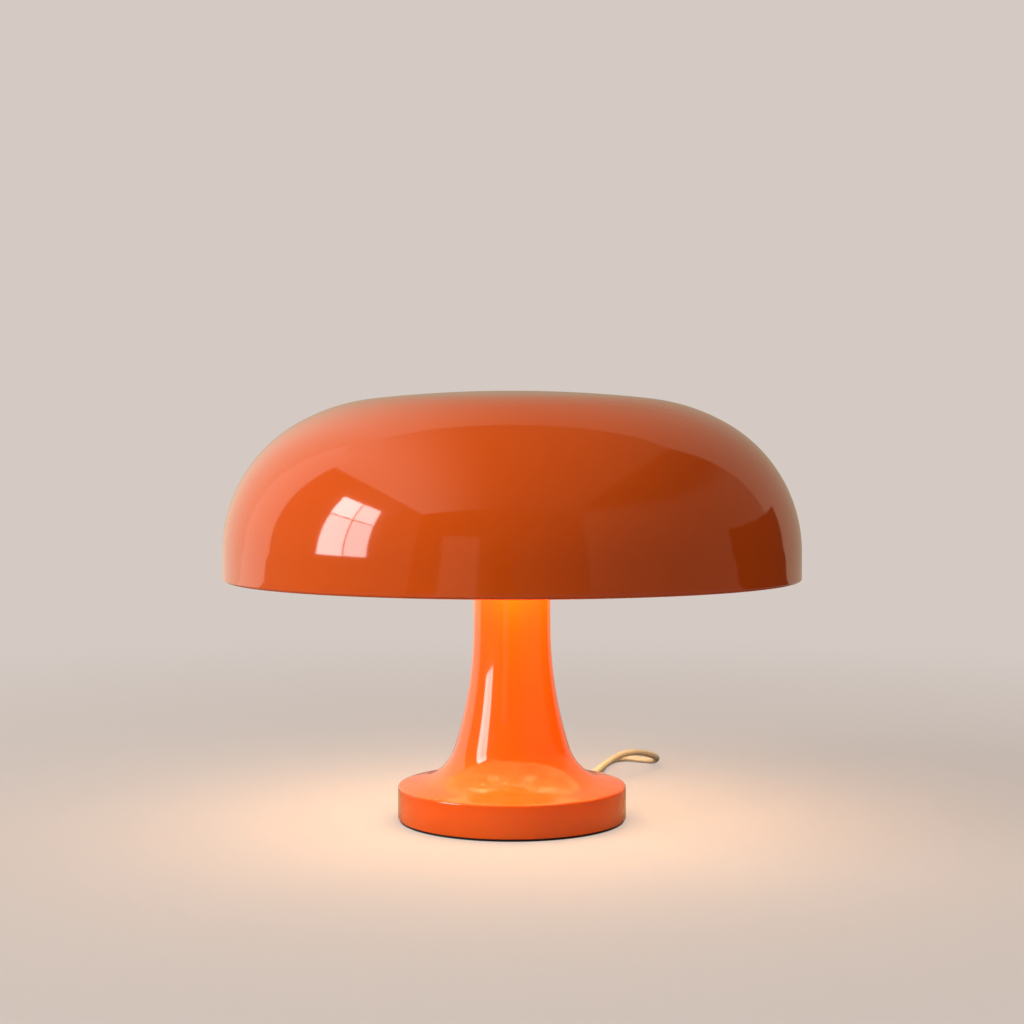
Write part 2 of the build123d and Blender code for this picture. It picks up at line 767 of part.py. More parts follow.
def coil_point(turn):
    """Centre of the coiled cord after a number of turns, with its direction.

    The cord comes in on the coil's left, winds clockwise seen from above, spirals in on the table,
    climbs a layer in the half turn where the spiral reverses, and spirals out on top.
    """
    angle = pi - 2 * pi * turn
    from_middle = turn - coil_turns_in - coil_climb / 2
    half = coil_climb / 2
    if abs(from_middle) >= half:
        radius = coil_inner + coil_pitch * (abs(from_middle) - half)
        rate = coil_pitch if from_middle > 0 else -coil_pitch
        rise = coil_step_up if from_middle > 0 else 0.0
        lift = 0.0
    else:
        radius = coil_inner - coil_pitch * (half ** 2 - from_middle ** 2) / coil_climb
        rate = coil_pitch * from_middle / half
        rise = coil_step_up * (1 + sin(pi * from_middle / coil_climb)) / 2
        lift = coil_step_up * pi * cos(pi * from_middle / coil_climb) / coil_climb / 2
    point = Vector(coil_centre[0] + radius * cos(angle), coil_centre[1] + radius * sin(angle), cord_low + rise)
    change = Vector(
        rate * cos(angle) + 2 * pi * radius * sin(angle),
        rate * sin(angle) - 2 * pi * radius * cos(angle), lift)
    return point, change.normalized()


def biarc(start, start_way, end, end_way):
    """Two arcs that leave the start and reach the end along the given directions."""
    across = end - start
    both = start_way + end_way
    square = 2 * (1 - start_way.dot(end_way))
    linear = 2 * across.dot(both)
    reach = (-linear + (linear ** 2 + 4 * square * across.dot(across)) ** 0.5) / (2 * square)
    middle = (start + end + (start_way - end_way) * reach) * 0.5
    first = TangentArc(start, middle, tangent=start_way)
    return [first, TangentArc(middle, end, tangent=first % 1)]


def coil_path():
    """Edges of the coil's centre line: biarcs of a quarter turn, straight at both ends."""
    stations = [coil_point(index / 4) for index in range(round(coil_turns_total * 4) + 1)]
    first, first_way = stations[0]
    edges = [Line(first - first_way * 2 * cord_radius, first)]
    for (start, start_way), (end, end_way) in zip(stations, stations[1:]):
        edges += biarc(start, start_way, end, end_way)
    last, last_way = edges[-1] @ 1, edges[-1] % 1
    edges.append(Line(last, last + last_way * 2 * cord_radius))
    return edges


def least_gap(edges):
    """Least gap between the cord's turns, measured on points along its centre line."""
    points = [edge @ (step / 5) for edge in edges for step in range(5)]
    a_third_turn = 2 * 5 * 4 // 3
    nearest = min(
        (points[one] - points[other]).length
        for one in range(len(points)) for other in range(one + a_third_turn, len(points))
    )
    return nearest - 2 * cord_radius


def cord_section(start, way):
    """Eight-sided section of the cord, as large in area as the round cord, lying on a flat."""
    corner = cord_radius * (pi / (2 * 2 ** 0.5)) ** 0.5
    return Plane(origin=start, x_dir=(0, 0, 1), z_dir=way) * RegularPolygon(corner, 8, rotation=22.5)


def tube(points, name):
    """Cord along straight runs joined by the largest arcs that its runs allow."""
    points = [Vector(*point) for point in points]
    runs = [(after - before).length for before, after in zip(points, points[1:])]
    radii = []
    for index in range(1, len(points) - 1):
        turn = (points[index] - points[index - 1]).get_angle(points[index + 1] - points[index])
        radii.append(0.45 * min(runs[index - 1], runs[index]) / tan(radians(turn) / 2))
    path = FilletPolyline(*points, radius=radii)
    solid = sweep(cord_section(points[0], points[1] - points[0]), path=path)
    length = sum(edge.length for edge in path.edges())
    expected = pi * cord_radius ** 2 * length
    print(name, "length", round(length, 1), "volume ratio", round(solid.volume / expected, 4),
          "radii", [round(radius, 1) for radius in radii])
    return solid, length


def cord_routes(bush_end, coil_start, coil_end):
    """Hand-chosen routes of the cord's free stretches, from the bush to the plug."""
    switch_x, switch_y = switch_centre
    right_end = switch_x + switch_length / 2
    left_end = switch_x - switch_length / 2
    front = [
        polar(bush_end, cord_exit_angle, cord_exit_height),
        (49.35, 85.48, cord_exit_height),
        (58.5, 107.5, 10.4),
        (70.0, 130.5, 12.3),
        (82.5, 147.5, 12.4),
        (94.5, 163.0, 7.0),
        (93.4, 176.1, 2.6),
        (84.1, 185.4, cord_low),
        (71.0, 186.5, cord_low),
        (60.3, 179.0, cord_low),
        (56.9, 166.3, cord_low),
        (55.5, 146.0, cord_low),
        (54.5, 128.0, cord_low),
        (52.0, 112.0, cord_low),
        (44.5, 100.0, 3.8),
        (35.0, switch_y, switch_cord_height),
        (right_end, switch_y, switch_cord_height),
    ]
    link = [
        (left_end, switch_y, switch_cord_height),
        (-42.5, switch_y, switch_cord_height),
        (-50.5, 98.2, 4.8),
        (-55.0, 105.5, 3.2),
        (-55.5, 115.0, 2.2),
        (-51.5, 124.0, cord_low),
        (-44.5, 131.0, cord_low),
        (-39.3, 136.0, cord_low),
        (-36.76, 143.5, cord_low),
        tuple(coil_start),
    ]
    tail = [
        tuple(coil_end),
        (-34.48, 167.0, 6.55),
        (-33.6, 177.0, 5.6),
        (-28.5, 186.0, 4.2),
        (-20.5, 192.5, 3.2),
        (-12.0, 198.0, 3.6),
        (-5.5, 205.0, 5.4),
        (plug_centre_x, 213.0, plug_thickness / 2),
        (plug_centre_x, plug_face_y, plug_thickness / 2),
    ]
    return front, link, tail


# ---------------------------------------------------------------- switch and plug

def switch_place(shape):
    """Move a shape made about the origin to the switch's place on the table."""
    return Pos(switch_centre[0], switch_centre[1], 0) * shape


def switch_blank(inset, bottom, top):
    """Outline of the switch, a long box with drawn-in ends."""
    half_length = switch_length / 2 - inset
    half_width = switch_width / 2 - inset
    end_half = switch_end_width / 2 - inset
    shoulder = switch_length / 2 - switch_taper
    outline = make_face(Polyline(
        (-half_length, -end_half), (-shoulder, -half_width), (shoulder, -half_width), (half_length, -end_half),
        (half_length, end_half), (shoulder, half_width), (-shoulder, half_width), (-half_length, end_half),
        close=True))
    shape = Pos(0, 0, bottom) * extrude(outline, top - bottom)
    uprights = shape.edges().filter_by(Axis.Z).filter_by(lambda edge: abs(edge.center().X) < shoulder + 1)
    return fillet(uprights, 6.0 - inset)


def make_switch_shells():
    """Lower and upper shells of the switch, hollow, with cord channels and the rocker's window."""
    lower = switch_blank(0, 0, switch_split)
    lower = fillet(lower.faces().sort_by(Axis.Z)[0].edges(), 1.0)
    lower -= switch_blank(switch_wall, switch_wall, switch_split + 1)
    upper = switch_blank(0, switch_split, switch_height)
    upper = fillet(upper.faces().sort_by(Axis.Z)[-1].edges(), 1.5)
    upper -= switch_blank(switch_wall, switch_split - 1, switch_height - switch_wall)
    passage = along(cord_radius + 0.1, (-switch_length / 2 + 1.2, 0, switch_cord_height),
                    (switch_length / 2 - 1.2, 0, switch_cord_height))
    lower -= passage
    upper -= passage
    window_half = rocker_radius + rocker_gap
    bearing = [
        block((-2.4, 2.4), (side * (rocker_width / 2 + rocker_gap + 0.9) - 0.9,
                            side * (rocker_width / 2 + rocker_gap + 0.9) + 0.9),
              (rocker_axis_height - 2.2, switch_height - 1))
        for side in (-1, 1)
    ]
    upper += bearing
    upper -= block((-window_half, window_half), (-rocker_width / 2 - rocker_gap, rocker_width / 2 + rocker_gap),
                   (switch_split - 2, switch_height + 1))
    upper -= along(rocker_pin_radius + rocker_pin_fit, (0, -rocker_width / 2 - 3, rocker_axis_height),
                   (0, rocker_width / 2 + 3, rocker_axis_height))
    for place in switch_screw_places:
        peg = Pos(*place)
        lower += peg * disc(switch_peg_radius, switch_wall / 2, switch_split)
        lower -= peg * disc(switch_head_radius + 0.2, -1, 1.4)
        lower -= peg * disc(switch_screw_radius + 0.2, -1, switch_split + 1)
        upper += peg * disc(switch_peg_radius, switch_split, switch_height - switch_wall / 2)
        upper -= peg * disc(switch_screw_radius, switch_split - 1, switch_height - 3)
    return switch_place(lower), switch_place(upper)


def make_switch_screws():
    """Screws that close the switch from below."""
    screws = []
    for place in switch_screw_places:
        screw = turned_points([
            (0, 0.3), (switch_head_radius, 0.3), (switch_head_radius, 1.4), (switch_screw_radius, 1.4),
            (switch_screw_radius, switch_height - 4), (0, switch_height - 4)])
        screws.append(switch_place(Pos(*place) * screw))
    return group(screws)


def make_rocker():
    """Rocker: a drum sector with two flats on top, pins at its sides and a nib below."""
    drum = along(rocker_radius, (0, -rocker_width / 2, rocker_axis_height), (0, rocker_width / 2, rocker_axis_height))
    drum -= block((-10, 10), (-10, 10), (0, rocker_axis_height - 2.0))
    roof = rocker_axis_height + 5.6
    for side in (-1, 1):
        cutter = block((-0.01 if side > 0 else -12, 12 if side > 0 else 0.01), (-10, 10), (0, 10))
        tilt = side * 7.0
        drum -= Pos(0, 0, roof) * Rot(0, -tilt, 0) * cutter
    nib = along(1.2, (0, -2, rocker_axis_height - 4), (0, 2, rocker_axis_height - 4))
    drum += block((-1.2, 1.2), (-2, 2), (rocker_axis_height - 4, rocker_axis_height - 1.5))
    drum += nib
    drum += along(rocker_pin_radius, (0, -rocker_width / 2 - 2.2, rocker_axis_height),
                  (0, rocker_width / 2 + 2.2, rocker_axis_height))
    centre = Pos(0, 0, rocker_axis_height)
    return switch_place(centre * Rot(0, rocker_tilt, 0) * Pos(0, 0, -rocker_axis_height) * drum)


def make_switch_contacts():
    """Brass terminals at both ends and the sprung strip under the rocker."""
    floor = switch_wall
    pieces = []
    for side in (-1, 1):
        pieces.append(block((side * 14 - 3.5, side * 14 + 3.5), (-3, 3), (floor, floor + 3.2)))
    strip = make_face(Plane.XZ * Polyline(
        (-9.5, floor), (-4, floor), (3, floor + 1.6), (9.5, floor + 1.6), (9.5, floor + 2.1),
        (2.8, floor + 2.1), (-4.2, floor + 0.5), (-9.5, floor + 0.5), close=True))
    pieces.append(extrude(strip, 2.2, both=True))
    return switch_place(group(pieces))


def make_plug():
    """Flat two-pin plug body: waisted grip, drawn in to the cord."""
    half = plug_width / 2
    tail = plug_tail_width / 2
    outline = make_face(Polyline(
        (-tail, 0), (tail, 0), (tail + 2.5, 9), (half - 3.5, 20), (half, 27), (half, plug_length),
        (-half, plug_length), (-half, 27), (-half + 3.5, 20), (-tail - 2.5, 9), close=True))
    body = extrude(outline, plug_thickness)
    uprights = body.edges().filter_by(Axis.Z)
    body = fillet(uprights.filter_by(lambda edge: edge.center().Y > 1 and edge.center().Y < plug_length - 1), 5.0)
    rims = body.faces().filter_by(Axis.Z).edges().filter_by(
        lambda edge: edge.center().Y > 0.2 and edge.center().Y < plug_length - 0.2)
    body = fillet(rims, 2.2)
    for index in range(4):
        groove_y = 4.0 + index * 3.2
        for height in (0, plug_thickness):
            body -= block((-half, half), (groove_y, groove_y + 1.2), (height - 0.7, height + 0.7))
    for side in (-1, 1):
        seat = along(pin_radius + 0.05, (side * pin_spacing / 2, plug_length - 10, plug_thickness / 2),
                     (side * pin_spacing / 2, plug_length + 1, plug_thickness / 2))
        body -= seat
    return Pos(plug_centre_x, plug_face_y, 0) * body


def make_pins():
    """The plug's two round pins, seated in its body."""
    pins = []
    for side in (-1, 1):
        pin = turned_points([
            (0, plug_length - 9), (pin_radius, plug_length - 9), (pin_radius, plug_length + pin_length - 1.2),
            (pin_radius - 1.0, plug_length + pin_length), (0, plug_length + pin_length)])
        pins.append(Pos(plug_centre_x + side * pin_spacing / 2, plug_face_y, plug_thickness / 2) * Rot(-90, 0, 0) * pin)
    return group(pins)


# ---------------------------------------------------------------- build every node

save("body", make_body())
save("bottom_cover", make_cover())
save("cover_screws", group(Pos(*polar(boss_circle, angle)) * make_cover_screw() for angle in cover_screw_angles))
save("foot_ring", disc(disc_radius - foot_ring_inset, 0, foot_height, foot_ring_inner))
save("ballast_weight", make_weight())
save("threaded_tube", disc(tube_radius - 0.05, tube_bottom, tube_top, tube_bore))
save("tube_nuts", group([make_nut(lower_nut_bottom), make_nut(upper_nut_bottom)]))
save("tube_washers", group([
    disc(washer_radius, lower_nut_top, web_bottom, tube_radius + tube_gap),
    disc(washer_radius, floor_top, upper_nut_bottom, tube_radius + tube_gap),
]))

bush, bush_tip = make_bush()
save("cord_bush", bush)
save("cord_clamp", make_clamp())
save("clamp_screws", make_clamp_screws())
save("terminal_block", make_terminal_block())
save("terminal_screws", make_terminal_screws())
save("cord_cores", make_cores())
save("cord_inside", facing(cord_exit_angle, along(cord_radius, (sheath_end, 0, 0), (bush_tip, 0, 0)),
                           cord_exit_height))
save("riser_wires", make_riser_wires())

save("lamp_carrier", make_carrier())
save("shade_post", make_post())
save("post_screws", make_lid_screws())
save("shade_seat_ring", disc(boss_outer, seat_height, seat_height + seat_ring_height, post_radius + 0.1))
save("junction_block", make_junction())
save("hub_leads", make_leads())

for number, angle in enumerate(lamp_angles, start=1):
    save(f"lampholder_{number}", facing(angle, make_holder(), lamp_axis))
    save(f"bulb_cap_{number}", facing(angle, make_bulb_cap(), lamp_axis))
    save(f"bulb_glass_{number}", facing(angle, make_bulb_glass(), lamp_axis))
save("thread_sleeves", group(facing(angle, make_sleeve(), lamp_axis) for angle in lamp_angles))
save("centre_contacts", group(facing(angle, make_contact(), lamp_axis) for angle in lamp_angles))

save("shade", make_shade())

coil_edges = coil_path()
coil_wire = Wire(coil_edges)
coil = sweep(cord_section(coil_wire @ 0, coil_wire % 0), path=coil_wire)
print("coil length", round(coil_wire.length, 1), "volume ratio",
      round(coil.volume / (pi * cord_radius ** 2 * coil_wire.length), 4), "least gap", round(least_gap(coil_edges), 2))
save("cord_coil", coil)

front_route, link_route, tail_route = cord_routes(bush_tip, coil_wire @ 0, coil_wire @ 1)
total_cord = coil_wire.length + switch_length
for name, route in (("cord_front", front_route), ("cord_link", link_route), ("cord_tail", tail_route)):
    stretch, length = tube(route, name)
    total_cord += length
    save(name, stretch)
print("cord from bush to plug", round(total_cord))

switch_base, switch_cover = make_switch_shells()
save("switch_base", switch_base)
save("switch_cover", switch_cover)
save("switch_screws", make_switch_screws())
save("switch_rocker", make_rocker())
save("switch_contacts", make_switch_contacts())
save("plug_body", make_plug())
save("plug_pins", make_pins())
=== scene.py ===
"""Mushroom table lamp: finishes, smooth mouldings, lit globes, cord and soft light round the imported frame."""

import json
import logging
import math
from dataclasses import dataclass, field
from enum import Enum
from typing import ClassVar

import bpy
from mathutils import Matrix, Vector


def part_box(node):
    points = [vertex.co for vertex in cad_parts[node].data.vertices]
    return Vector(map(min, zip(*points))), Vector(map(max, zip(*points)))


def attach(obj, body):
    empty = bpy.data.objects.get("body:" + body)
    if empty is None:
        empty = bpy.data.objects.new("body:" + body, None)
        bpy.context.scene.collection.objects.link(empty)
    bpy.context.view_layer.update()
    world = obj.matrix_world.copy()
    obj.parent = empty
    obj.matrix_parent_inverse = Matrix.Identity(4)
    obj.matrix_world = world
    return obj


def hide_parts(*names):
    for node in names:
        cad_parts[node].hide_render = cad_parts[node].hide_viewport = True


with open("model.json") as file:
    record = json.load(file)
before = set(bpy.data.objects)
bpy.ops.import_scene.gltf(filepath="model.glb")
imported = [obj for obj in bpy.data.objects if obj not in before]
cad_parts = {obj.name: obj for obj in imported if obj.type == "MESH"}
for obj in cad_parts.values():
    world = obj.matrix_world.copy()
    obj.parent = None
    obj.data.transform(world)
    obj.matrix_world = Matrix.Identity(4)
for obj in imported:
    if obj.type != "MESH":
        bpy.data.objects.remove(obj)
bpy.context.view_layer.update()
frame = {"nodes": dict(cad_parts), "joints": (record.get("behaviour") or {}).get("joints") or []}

MM = 0.001
FULL_TURN = 2 * math.pi
MERGE_DISTANCE = 0.002 * MM
SMOOTH_ANGLE = math.radians(35)
log = logging.getLogger("lamp")
Outline = list[tuple[float, float]]
Route = list[tuple[float, float, float]]


# ---------------- colours, nodes and lights


def linear(hex_colour: str) -> tuple[float, float, float, float]:
    """Turn an sRGB hex colour to the linear colour that shaders use.

    Args:
        hex_colour: six hex digits after a hash sign.

    Returns:
        Red, green, blue and a full alpha.
    """
    channels = [int(hex_colour[start:start + 2], 16) / 255 for start in (1, 3, 5)]
    curved = [c / 12.92 if c <= 0.04045 else ((c + 0.055) / 1.055) ** 2.4 for c in channels]
    return (curved[0], curved[1], curved[2], 1.0)


def add_node(tree: bpy.types.NodeTree, kind: str, settings: dict | None = None,
             links: dict | None = None) -> bpy.types.Node:
    """Add a node with its settings and links.

    Args:
        tree: node tree that takes the node.
        kind: Blender's name for the node, without ShaderNode.
        settings: values by input name or number, or by attribute name.
        links: sockets, or nodes for their first output, by the name or number of the input that they feed.

    Returns:
        The new node.
    """
    node = tree.nodes.new(f"ShaderNode{kind}")
    for name, value in (settings or {}).items():
        if isinstance(name, int) or name in node.inputs:
            node.inputs[name].default_value = value
        else:
            setattr(node, name, value)
    for name, source in (links or {}).items():
        socket = source.outputs[0] if isinstance(source, bpy.types.Node) else source
        tree.links.new(socket, node.inputs[name])
    return node


def new_material(name: str) -> tuple[bpy.types.Material, bpy.types.NodeTree]:
    """Make an empty node material.

    Args:
        name: the material's name.

    Returns:
        The material and its node tree.
    """
    material = bpy.data.materials.new(name)
    material.use_nodes = True
    material.node_tree.nodes.clear()
    return material, material.node_tree


def add_light(name: str, kind: str, at: Vector, settings: dict, hidden: tuple[str, ...]) -> bpy.types.Object:
    """Add a light with its settings, hidden from some kinds of ray.

    Args:
        name: the light's name.
        kind: POINT or AREA.
        at: its place in metres.
        settings: values by the light's attribute name.
        hidden: the kinds of ray that don't see it.

    Returns:
        The light's object.
    """
    data = bpy.data.lights.new(name, kind)
    for attribute, value in settings.items():
        setattr(data, attribute, value)
    light = bpy.data.objects.new(name, data)
    light.location = at
    for ray in hidden:
        setattr(light, f"visible_{ray}", False)
    bpy.context.scene.collection.objects.link(light)
    return light


# ---------------- finishes


@dataclass(frozen=True)
class MouldedPlastic:
    """Moulded plastic, rubber or lacquer: even colour with faint flow marks, fine ripple and rubbing."""

    name: str
    colour: str
    deep_colour: str
    roughness: float
    roughness_spread: float
    coat: float
    ripple_mm: float
    ripple_height_mm: float
    flow_mm: float = 60.0
    index: float = 1.54
    rub_mm: float = 9.0
    rub_range: tuple[float, float] = (0.35, 0.75)
    coat_roughness: float = 0.03

    def make(self) -> bpy.types.Material:
        """Build the material.

        Returns:
            The material, named for what it is.
        """
        material, tree = new_material(self.name)
        spot = add_node(tree, "TexCoord").outputs["Object"]
        flow = add_node(tree, "TexNoise", {"Scale": 1 / (self.flow_mm * MM), "Detail": 3.0},
                        {"Vector": spot})
        mix = add_node(tree, "Mix", {
            "data_type": "RGBA", 6: linear(self.colour), 7: linear(self.deep_colour),
        }, {0: flow})
        skin = add_node(tree, "TexNoise", {"Scale": 1 / (self.ripple_mm * MM), "Detail": 2.0},
                        {"Vector": spot})
        rub = add_node(tree, "TexNoise", {
            "Scale": 1 / (self.rub_mm * MM), "Detail": 6.0, "Roughness": 0.65,
        }, {"Vector": spot})
        gloss = add_node(tree, "MapRange", {
            "From Min": self.rub_range[0], "From Max": self.rub_range[1],
            "To Min": self.roughness - self.roughness_spread,
            "To Max": self.roughness + self.roughness_spread,
        }, {"Value": rub})
        bump = add_node(tree, "Bump", {"Strength": 1.0, "Distance": self.ripple_height_mm * MM},
                        {"Height": skin})
        shader = add_node(tree, "BsdfPrincipled", {
            "IOR": self.index, "Coat Weight": self.coat, "Coat Roughness": self.coat_roughness,
        }, {"Base Color": mix.outputs[2], "Roughness": gloss, "Normal": bump})
        add_node(tree, "OutputMaterial", None, {"Surface": shader})
        return material


@dataclass(frozen=True)
class PlatedMetal:
    """Turned, stamped or cast metal: its tool marks or grain vary its gloss and raise its skin."""

    name: str
    colour: str
    roughness: float
    mark_mm: float
    mark_height_mm: float
    mark_range: tuple[float, float] = (0.3, 0.7)
    smoothest: float = 0.7
    roughest: float = 1.4

    def make(self) -> bpy.types.Material:
        """Build the material.

        Returns:
            The material, named for what it is.
        """
        material, tree = new_material(self.name)
        spot = add_node(tree, "TexCoord").outputs["Object"]
        marks = add_node(tree, "TexNoise", {"Scale": 1 / (self.mark_mm * MM), "Detail": 4.0},
                         {"Vector": spot})
        gloss = add_node(tree, "MapRange", {
            "From Min": self.mark_range[0], "From Max": self.mark_range[1],
            "To Min": self.roughness * self.smoothest, "To Max": self.roughness * self.roughest,
        }, {"Value": marks})
        bump = add_node(tree, "Bump", {"Distance": self.mark_height_mm * MM},
                        {"Height": marks})
        shader = add_node(tree, "BsdfPrincipled", {
            "Base Color": linear(self.colour), "Metallic": 1.0,
        }, {"Roughness": gloss, "Normal": bump})
        add_node(tree, "OutputMaterial", None, {"Surface": shader})
        return material


@dataclass(frozen=True)
class OpalGlass:
    """Blown glass with a white powder coat inside, lit from within."""

    name: str
    colour: str
    glow: str
    strength: float
    strength_spread: float = 0.04
    powder_mm: float = 3.0
    powder_range: tuple[float, float] = (0.3, 0.7)
    roughness: float = 0.12
    index: float = 1.5

    def make(self) -> bpy.types.Material:
        """Build the material.

        Returns:
            The material, named for what it is.
        """
        material, tree = new_material(self.name)
        spot = add_node(tree, "TexCoord").outputs["Object"]
        powder = add_node(tree, "TexNoise", {"Scale": 1 / (self.powder_mm * MM), "Detail": 3.0},
                          {"Vector": spot})
        level = add_node(tree, "MapRange", {
            "From Min": self.powder_range[0], "From Max": self.powder_range[1],
            "To Min": self.strength * (1 - self.strength_spread),
            "To Max": self.strength * (1 + self.strength_spread),
        }, {"Value": powder})
        shader = add_node(tree, "BsdfPrincipled", {
            "Base Color": linear(self.colour), "Roughness": self.roughness, "IOR": self.index,
            "Emission Color": linear(self.glow),
        }, {"Emission Strength": level})
        add_node(tree, "OutputMaterial", None, {"Surface": shader})
        return material


class Finish(Enum):
    """The lamp's finishes, one for each real material."""

    # ABS, injection moulded in a polished tool: deep even orange under a hard gloss.
    ORANGE_ABS = MouldedPlastic("abs_orange_polished", "#EA5A0A", "#E45408", 0.08, 0.015, 0.7, 1.6, 0.002)
    # White acrylic lacquer, sprayed inside the shade: bright and satin, to throw the light down.
    WHITE_LACQUER = MouldedPlastic("lacquer_white_sprayed", "#EFECE4", "#EAE6DC", 0.45, 0.06, 0.0, 0.7, 0.01)
    # Glass-filled nylon, moulded: heat-proof, off-white, satin.
    WHITE_NYLON = MouldedPlastic("nylon_white_moulded", "#E4E0D4", "#DAD5C6", 0.42, 0.06, 0.0, 0.8, 0.01)
    # Plasticised PVC, extruded over the cord or moulded on it: cream, soft satin.
    CREAM_PVC = MouldedPlastic("pvc_cream_extruded", "#D0C7B0", "#C6BCA3", 0.38, 0.06, 0.0, 1.0, 0.01,
                               flow_mm=25.0, index=1.52)
    # Urea-formaldehyde, pressed: cream, hard and a little glossy.
    CREAM_UREA = MouldedPlastic("urea_cream_pressed", "#D4CCB7", "#CCC3AB", 0.25, 0.05, 0.1, 1.2, 0.006)
    # ABS moulded in a spark-textured tool: near black, fine grain.
    BLACK_ABS = MouldedPlastic("abs_black_textured", "#141414", "#0F0F0F", 0.55, 0.08, 0.0, 0.35, 0.03)
    # EPDM rubber, moulded: black and dull.
    BLACK_RUBBER = MouldedPlastic("epdm_rubber_black", "#121110", "#0D0C0B", 0.72, 0.08, 0.0, 0.5, 0.04)
    # Grey iron, sand cast: coarse, dark and dull.
    CAST_IRON = PlatedMetal("grey_iron_cast", "#4A4A4C", 0.6, 0.9, 0.15)
    # Steel, turned and zinc plated: pale, blue-grey, half bright.
    ZINC_STEEL = PlatedMetal("steel_zinc_plated", "#B9BDC2", 0.3, 0.5, 0.01)
    # Brass, nickel plated and rolled: warm pale metal.
    NICKEL_BRASS = PlatedMetal("brass_nickel_plated", "#CFC8B8", 0.22, 0.6, 0.01)
    # Brass, stamped: yellow and bright.
    BRASS = PlatedMetal("brass_stamped", "#C9A45A", 0.28, 0.6, 0.01)
    # Soda-lime glass, blown and opal coated, lit: warm white with faint clouds in its powder.
    OPAL_GLASS = OpalGlass("glass_opal_lit", "#F7EFE0", "#FFD9A0", 1.0)


class Paintbox:
    """Makes each finish's material once and puts it on pieces."""

    def __init__(self) -> None:
        """Start with no material made."""
        self.made: dict[Finish, bpy.types.Material] = {}

    def dress(self, piece: bpy.types.Object, *finishes: Finish) -> None:
        """Give a piece its finishes, of which its faces take the first.

        Args:
            piece: object that is dressed.
            finishes: the finishes that it takes.
        """
        piece.data.materials.clear()
        for finish in finishes:
            if finish not in self.made:
                self.made[finish] = finish.value.make()
            piece.data.materials.append(self.made[finish])


# ---------------- modelling helpers


def arc(centre: tuple[float, float], radius: float, start: float, end: float, steps: int) -> Outline:
    """Points of an arc in the (radius, height) plane.

    Args:
        centre: the arc's centre.
        radius: its radius.
        start: first angle in degrees, from the outward direction, turning up.
        end: last angle in degrees.
        steps: number of equal steps.

    Returns:
        The points, both ends included.
    """
    angles = [math.radians(start + (end - start) * step / steps) for step in range(steps + 1)]
    return [(centre[0] + radius * math.cos(angle), centre[1] + radius * math.sin(angle)) for angle in angles]


def chain(outline: Outline, name: str) -> bpy.types.Object:
    """Start a mesh from one vertex and extrude it along an outline.

    Args:
        outline: (radius, height) points in metres.
        name: the new object's name.

    Returns:
        The object, left in edit mode.
    """
    bpy.ops.object.select_all(action="DESELECT")
    bpy.ops.mesh.primitive_plane_add(size=MM, location=(outline[0][0], 0, outline[0][1]))
    piece = bpy.context.object
    piece.name = name
    bpy.ops.object.transform_apply(location=True)
    bpy.ops.object.mode_set(mode="EDIT")
    bpy.ops.mesh.select_all(action="SELECT")
    bpy.ops.mesh.merge(type="CENTER")
    for before, after in zip(outline, outline[1:]):
        move = (after[0] - before[0], 0, after[1] - before[1])
        bpy.ops.mesh.extrude_region_move(TRANSFORM_OT_translate={"value": move})
    return piece


def lathe(outline: Outline, name: str, steps: int) -> bpy.types.Object:
    """Turn an outline about Z into a closed, smooth-shaded mesh.

    Args:
        outline: (radius, height) points in metres, from axis to axis or back to the first point.
        name: the new object's name.
        steps: number of steps round the axis.

    Returns:
        The turned object.
    """
    piece = chain(outline, name)
    bpy.ops.mesh.select_all(action="SELECT")
    bpy.ops.mesh.spin(steps=steps, angle=FULL_TURN, center=(0, 0, 0), axis=(0, 0, 1))
    bpy.ops.mesh.select_all(action="SELECT")
    bpy.ops.mesh.remove_doubles(threshold=MERGE_DISTANCE)
    bpy.ops.mesh.normals_make_consistent(inside=False)
    bpy.ops.object.mode_set(mode="OBJECT")
    bpy.ops.object.shade_smooth_by_angle(angle=SMOOTH_ANGLE)
    return piece


def place(piece: bpy.types.Object, turn: tuple[float, float, float],
          move: tuple[float, float, float] = (0, 0, 0)) -> None:
    """Turn and move a piece, and apply both to its mesh.

    Args:
        piece: object that is placed.
        turn: rotation about X, Y and Z in radians.
        move: translation in metres.
    """
    bpy.ops.object.select_all(action="DESELECT")
    piece.select_set(True)
    bpy.context.view_layer.objects.active = piece
    piece.rotation_euler = turn
    piece.location = move
    bpy.ops.object.transform_apply(location=True, rotation=True, scale=True)


def copy_of(piece: bpy.types.Object, name: str) -> bpy.types.Object:
    """Copy a piece with a mesh of its own.

    Args:
        piece: object that is copied.
        name: the copy's name.

    Returns:
        The copy.
    """
    double = piece.copy()
    double.data = piece.data.copy()
    double.name = name
    bpy.context.scene.collection.objects.link(double)
    return double


def frame_axis(joint: str) -> Vector:
    """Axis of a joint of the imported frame."""
    return next(Vector(entry["axis"]) for entry in frame["joints"] if entry["name"] == joint)


# ---------------- the two orange mouldings


